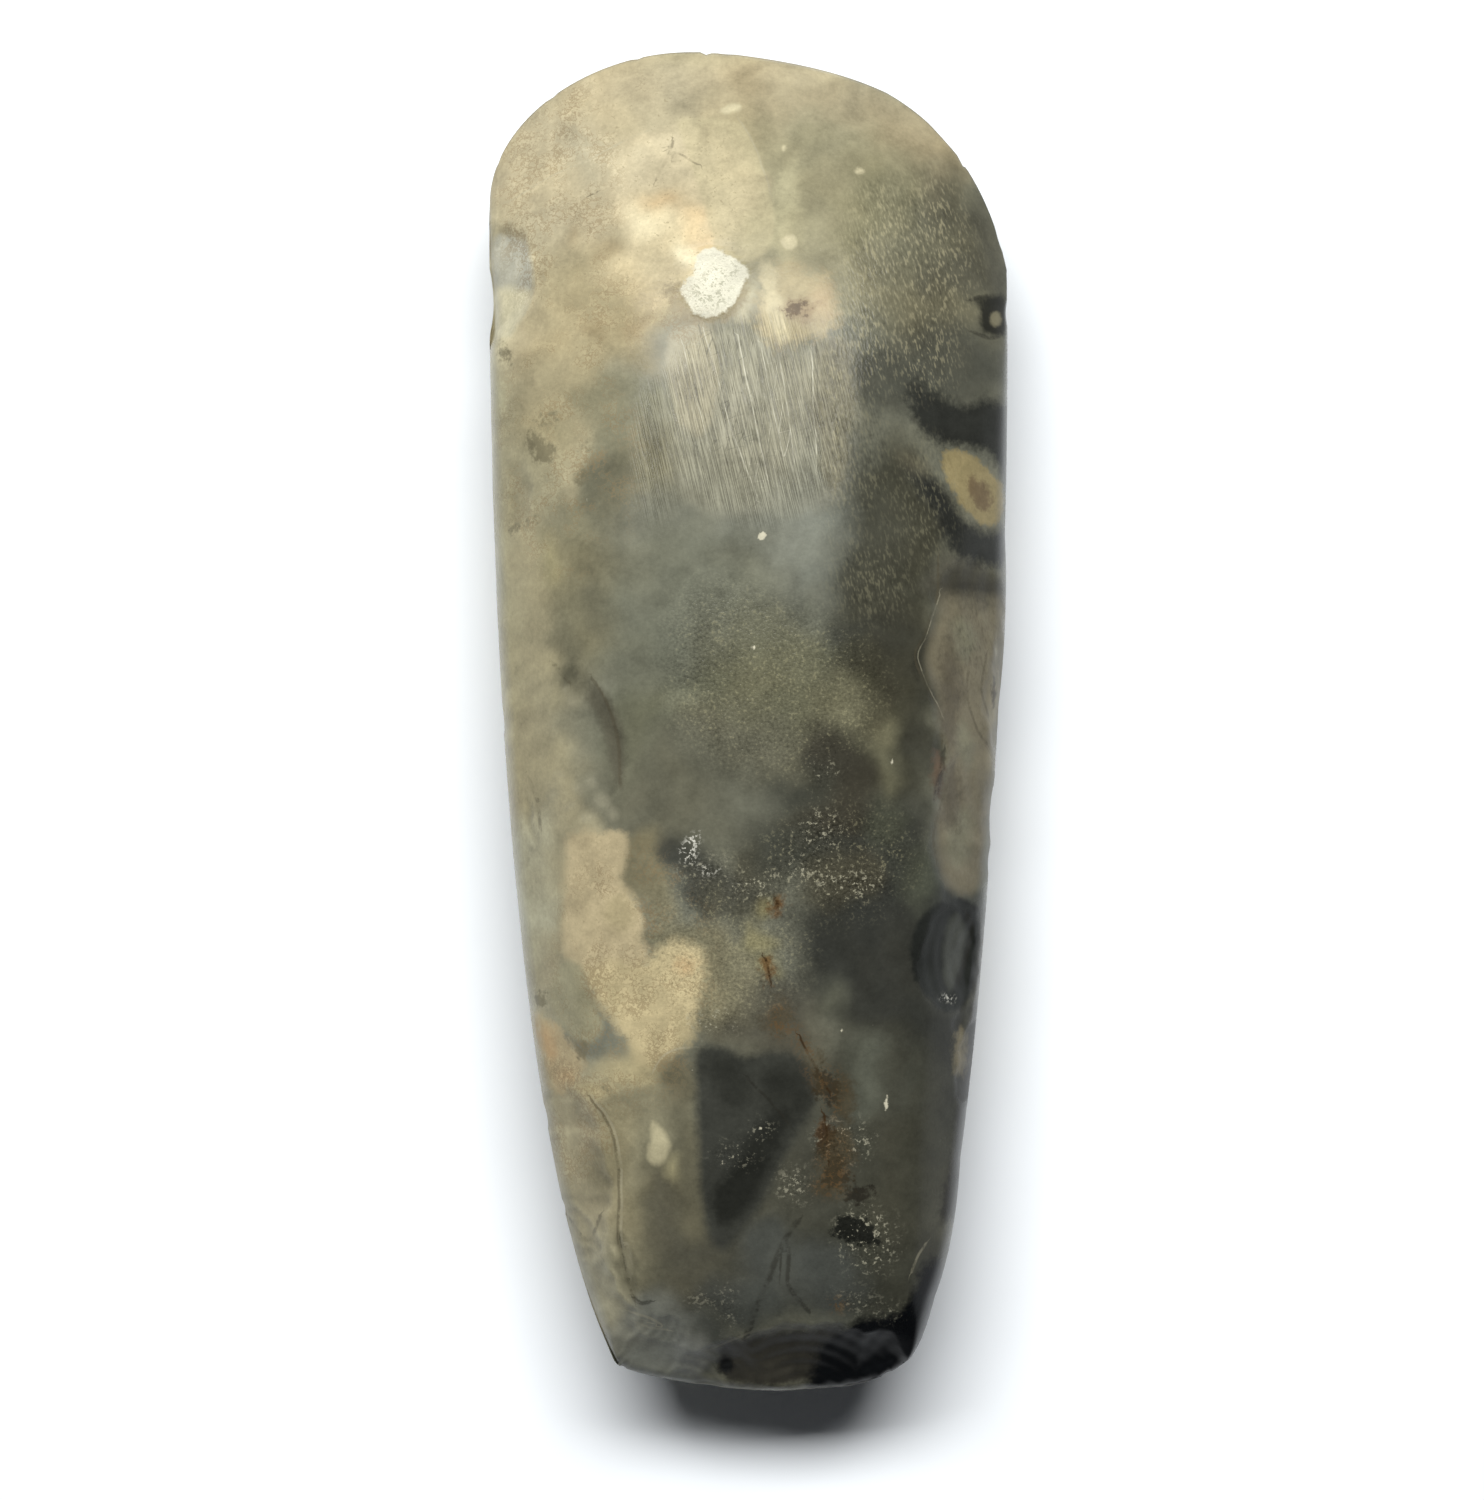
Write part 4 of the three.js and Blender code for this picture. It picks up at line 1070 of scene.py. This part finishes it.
def drawnOut(place, stretch, turn):
    sockets = {"Vector": place, "Rotation": (0, 0, math.radians(turn)), "Scale": (1, stretch, stretch)}
    return place.node("ShaderNodeMapping", {"vector_type": "TEXTURE"}, sockets)


def unpacked(wire):
    found = {}
    for number, pack in enumerate(packs):
        vector = wire.node("ShaderNodeAttribute", {"attribute_name": pack}, output="Vector")
        parts = wire.node("ShaderNodeSeparateXYZ", {}, {0: vector}).socket.node.outputs
        for name, socket in zip(packedNames[3 * number :], parts):
            found[name] = Wire(wire.tree, socket)
    return found


# The finish of the ground and of the other surfaces; sizes and depths in millimetres
finish = {
    "mottle": 0.3,
    "fineMottle": 0.45,
    "specular": 0.1,
    "groundRoughness": 0.24,
    "creamRoughness": 0.42,
    "chalkRoughness": 0.95,
    "scarRoughness": 0.36,
    "coarseSize": 4.5,
    "fineSize": 0.7,
    "grainSize": 0.32,
    "streak": (3.2, 15),  # how much longer than wide, and turn in degrees
    "streakSize": 0.27,
    "streakTint": 1.1,
    "crumbTint": 1.2,
    "scratchSize": 0.115,
    "scratch": (32, 13),
    "scratchRange": (-0.2, 0.16),
    "scratchDepth": 0.04,
    "scratchTint": 0.5,
    "bumpDepth": 0.012,
    "crumbDepth": 0.05,
    "streakDepth": 0.09,
    "fineFray": 1.7,
    "coarseFray": 2,
    "broadClustering": 0.3,
    "clustering": 0.8,
    "streakClustering": 0.45,  # share of it that the streaks follow
    "grainBlur": 0.1,
    "veinWidth": 0.03,
    "veinSpread": 0.25,
    "speckle": 0.26,
    "chalkDepth": 0.2,
}


def flintMaterial():
    material = bpy.data.materials.new("flint")
    material.use_nodes = True
    tree = material.node_tree
    tree.nodes.clear()
    wire = Wire(tree)
    position = wire.node("ShaderNodeTexCoord", output="Object")
    place = inMillimetres(position)
    coarse = noise(place, finish["coarseSize"], 2, 0.6) - 0.5
    fine = noise(place, finish["fineSize"], 3, 0.65) - 0.5
    grain = noise(place, finish["grainSize"], 2, 0.65)
    streakGrain = noise(drawnOut(place, *finish["streak"]), finish["streakSize"], 1, 0.6)
    scratches = noise(drawnOut(place, *finish["scratch"]), finish["scratchSize"], 1, 0.5) - 0.5
    found = unpacked(wire)
    scratches = step(scratches, *finish["scratchRange"], -0.5, 0.5)
    ragged = finish["fineFray"] * fine + finish["coarseFray"] * coarse

    colour = wire.node("ShaderNodeAttribute", {"attribute_name": "ground"}, output="Color")
    masks = {}
    for name, (tone, blur, fray, strength, ovals) in crispPatches.items():
        masks[name] = step(found[name] + ragged * fray, blur, -blur, 0, strength)
        colour = layered(colour, stoneTone(tone), masks[name])
    scatters = {"streakGrains": streakGrain, "faintStreaks": streakGrain, "darkPits": 1 - grain}
    scatters["paleCrumbs"] = 0.75 * grain + 0.5 * fine + 0.125  # stays around a half, as the grain does
    scatters["rustGrains"] = scatters["paleCrumbs"]
    clusters = finish["broadClustering"] * coarse + finish["clustering"] * fine
    fewer = finish["streakClustering"] * clusters
    for name, (tone, share, strength, blur, forms) in grains.items():
        if name == "veined":
            shows = step(abs(fine) - finish["veinSpread"] * coarse, finish["veinWidth"], 0)
        else:
            crowding = fewer if name in ("streakGrains", "faintStreaks") else clusters
            shows = step(scatters.get(name, grain) + crowding, share, share + finish["grainBlur"])
        colour = layered(colour, stoneTone(tone), found[name] * strength * shows)
    for name, (tone, strength, drawn) in lines.items():
        beside = step(abs(found[name] + 1.5 * fine) + 0.8 * coarse, 1.5, 0.4, 0, strength)
        broken = step(coarse - 0.6 * fine, -0.12, 0.06, 0.25, 1)
        colour = layered(colour, stoneTone(tone), beside * broken * found[name + "Near"])
    shading = 1 + found["marble"] + finish["mottle"] * coarse + finish["fineMottle"] * fine
    shading = shading + finish["scratchTint"] * scratches * found["scratched"]
    shading = shading + finish["speckle"] * (grain - 0.5)
    streaked = found["streakGrains"] + found["faintStreaks"]
    shading = shading + finish["streakTint"] * streaked * (streakGrain - 0.5)
    shading = shading + finish["crumbTint"] * (found["paleCrumbs"] + found["oliveGrains"]) * (grain - 0.5)
    grey = shading.node("ShaderNodeCombineColor", {}, {0: shading, 1: shading, 2: shading})
    times = {"data_type": "RGBA", "blend_type": "MULTIPLY"}
    colour = grey.node("ShaderNodeMix", times, {0: 1.0, 6: colour, 7: grey}, 2)

    cream = masks["creamMiddle"] + masks["creamLower"] + masks["creamRim"]
    rough = finish["groundRoughness"] + 0.25 * coarse + 0.15 * found["scratched"] * scratches
    rough = blended(rough, finish["creamRoughness"], step(cream, 0, 1))
    rough = blended(rough, finish["scarRoughness"], step(found["scar"], 0.05, 0.3))
    rough = blended(rough, finish["chalkRoughness"], masks["chalk"])
    crumbly = wire.node("ShaderNodeAttribute", {"attribute_name": "crumbly"}, output="Fac")
    raised = found["paleCrumbs"] + found["oliveGrains"]
    deep = finish["bumpDepth"] + finish["crumbDepth"] * raised + finish["chalkDepth"] * crumbly
    relief = grain * deep + found["streakGrains"] * streakGrain * finish["streakDepth"]
    relief = relief + found["scratched"] * scratches * finish["scratchDepth"]
    normal = relief.node("ShaderNodeBump", {}, {"Strength": 1, "Distance": mm, "Height": relief})

    sockets = {"Base Color": colour, "Roughness": rough, "Normal": normal}
    sockets["Specular IOR Level"] = finish["specular"]
    shader = wire.node("ShaderNodeBsdfPrincipled", {}, sockets)
    wire.node("ShaderNodeOutputMaterial", {}, {"Surface": shader})
    return material


# The relief of the ground and of the rough places, in millimetres
relief = {
    "Swell Height": 0.05, "Swell Size": 7, "Grain Height": 0.012, "Grain Size": 1.3, "Crumb Height": 0.16,
    "Crumb Size": 1.1,
}


def reliefTree():
    tree = bpy.data.node_groups.new("flintRelief", "GeometryNodeTree")
    tree.interface.new_socket("Geometry", in_out="INPUT", socket_type="NodeSocketGeometry")
    for name, value in relief.items():
        tree.interface.new_socket(name, in_out="INPUT", socket_type="NodeSocketFloat").default_value = value
    tree.interface.new_socket("Material", in_out="INPUT", socket_type="NodeSocketMaterial")
    tree.interface.new_socket("Geometry", in_out="OUTPUT", socket_type="NodeSocketGeometry")
    wire = Wire(tree)
    inputs = tree.nodes.new("NodeGroupInput").outputs
    given = {socket.name: Wire(tree, socket) for socket in inputs if socket.name}
    position = wire.node("GeometryNodeInputPosition")
    place = inMillimetres(position)

    def waves(kind, detail):
        scale = wire.maths("DIVIDE", 1.0, given[kind + " Size"])
        sockets = {"Vector": place, "Scale": scale, "Detail": detail}
        return (place.node("ShaderNodeTexNoise", {}, sockets) - 0.5) * given[kind + " Height"] * 2

    def stored(name):
        return wire.node("GeometryNodeInputNamedAttribute", {"data_type": "FLOAT"}, {"Name": name})

    crumbly = stored("crumbly")
    lift = (waves("Swell", 2) + waves("Grain", 2)) * (1 - crumbly) + waves("Crumb", 3) * crumbly
    lift = lift * stored("inside") * mm
    normal = wire.node("GeometryNodeInputNormal")
    offset = normal.node("ShaderNodeVectorMath", {"operation": "SCALE"}, {"Vector": normal, "Scale": lift})
    moved = wire.node("GeometryNodeSetPosition", {}, {"Geometry": given["Geometry"], "Offset": offset})
    real = wire.node("GeometryNodeRealizeInstances", {}, {"Geometry": moved})
    finished = wire.node("GeometryNodeSetMaterial", {}, {"Geometry": real, "Material": given["Material"]})
    wire.node("NodeGroupOutput", {}, {"Geometry": finished})
    return tree


def reliefOn(piece, material):
    tree = reliefTree()
    modifier = piece.modifiers.new("relief", "NODES")
    modifier.node_group = tree
    for item in tree.interface.items_tree:
        if item.in_out == "INPUT" and item.name == "Material":
            modifier[item.identifier] = material
        elif item.in_out == "INPUT" and item.name in relief:
            modifier[item.identifier] = relief[item.name]
    bpy.context.view_layer.update()
    evaluated = piece.evaluated_get(bpy.context.evaluated_depsgraph_get())
    mesh = bpy.data.meshes.new_from_object(evaluated)
    piece.modifiers.remove(modifier)
    return mesh


flintStuff = flintMaterial()
print("flint material made:", len(flintStuff.node_tree.nodes), "nodes")
flatLevel = places[:, 2].min() + 1e-4
single = {"inside": marks["inside"], "crumbly": marks["crumbly"]}
stored = {**single, **packs, "ground": groundTone}
flint = shown("flint_axe", plainMesh("flint_axe", places * mm, faces, stored))
carved = reliefOn(flint, flintStuff)
carvedPlaces = np.empty(3 * len(carved.vertices), np.float32)
carved.vertices.foreach_get("co", carvedPlaces)
carvedPlaces = carvedPlaces.reshape(-1, 3) / mm
carvedPlaces[:, 2] = np.maximum(carvedPlaces[:, 2], flatLevel)
places = fitToBox(carvedPlaces) * mm
carved.vertices.foreach_set("co", places.astype(np.float32).ravel())
carved.update()
flint.data = carved
print("relief carved:", len(carved.polygons), "faces")

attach(flint, "root")
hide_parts("axe")

# The studio: paper, one large soft light towards the cutting edge, and a dim room around it
studio = {
    "paper": 1.6,
    "paperTone": (0.885, 0.92, 0.96),
    "lightTilt": 28.5,
    "lightTurn": -4,
    "lightDistance": 1.0,
    "lightSize": (0.95, 0.3),
    "lightPower": 16.4,
    "lightTone": (1, 1, 0.985),
    "room": 0.045,
    "roomTone": (0.92, 0.935, 1),
}


def addLight(name, tilt, turn, distance, size, power):
    data = bpy.data.lights.new(name, "AREA")
    data.shape = "RECTANGLE"
    data.size, data.size_y = size
    data.energy = power
    data.color = studio["lightTone"]
    lamp = shown(name, data)
    tilt, turn = math.radians(tilt), math.radians(turn)
    lamp.location = (
        distance * math.sin(tilt) * math.sin(turn),
        distance * math.sin(tilt) * math.cos(turn),
        distance * math.cos(tilt),
    )
    lamp.rotation_euler = (-tilt, 0, -turn)
    return lamp


addLight(
    "softbox", studio["lightTilt"], studio["lightTurn"], studio["lightDistance"], studio["lightSize"],
    studio["lightPower"],
)

half = studio["paper"] / 2
corners = [(-half, -half, 0), (half, -half, 0), (half, half, 0), (-half, half, 0)]
paper = shown("paper", plainMesh("paper", corners, [(0, 1, 2, 3)]))
paperStuff = bpy.data.materials.new("paper")
paperStuff.use_nodes = True
paperShader = paperStuff.node_tree.nodes["Principled BSDF"]
paperShader.inputs["Base Color"].default_value = (*studio["paperTone"], 1)
paperShader.inputs["Roughness"].default_value = 0.7
paper.data.materials.append(paperStuff)

world = bpy.data.worlds.new("room")
world.use_nodes = True
world.node_tree.nodes["Background"].inputs["Color"].default_value = (*studio["roomTone"], 1)
world.node_tree.nodes["Background"].inputs["Strength"].default_value = studio["room"]
bpy.context.scene.world = world

lens = bpy.data.cameras.new("camera")
lens.sensor_fit = "VERTICAL"
lens.sensor_height = 36
lens.lens = lens.sensor_height * view["distance"] / view["height"]
lens.clip_end = 10
camera = shown("camera", lens)
viewX, viewY = view["centre"]
camera.location = (viewX * mm, viewY * mm, (view["rimLevel"] + view["distance"]) * mm)
bpy.context.scene.camera = camera
bpy.context.scene.view_settings.view_transform = "Standard"
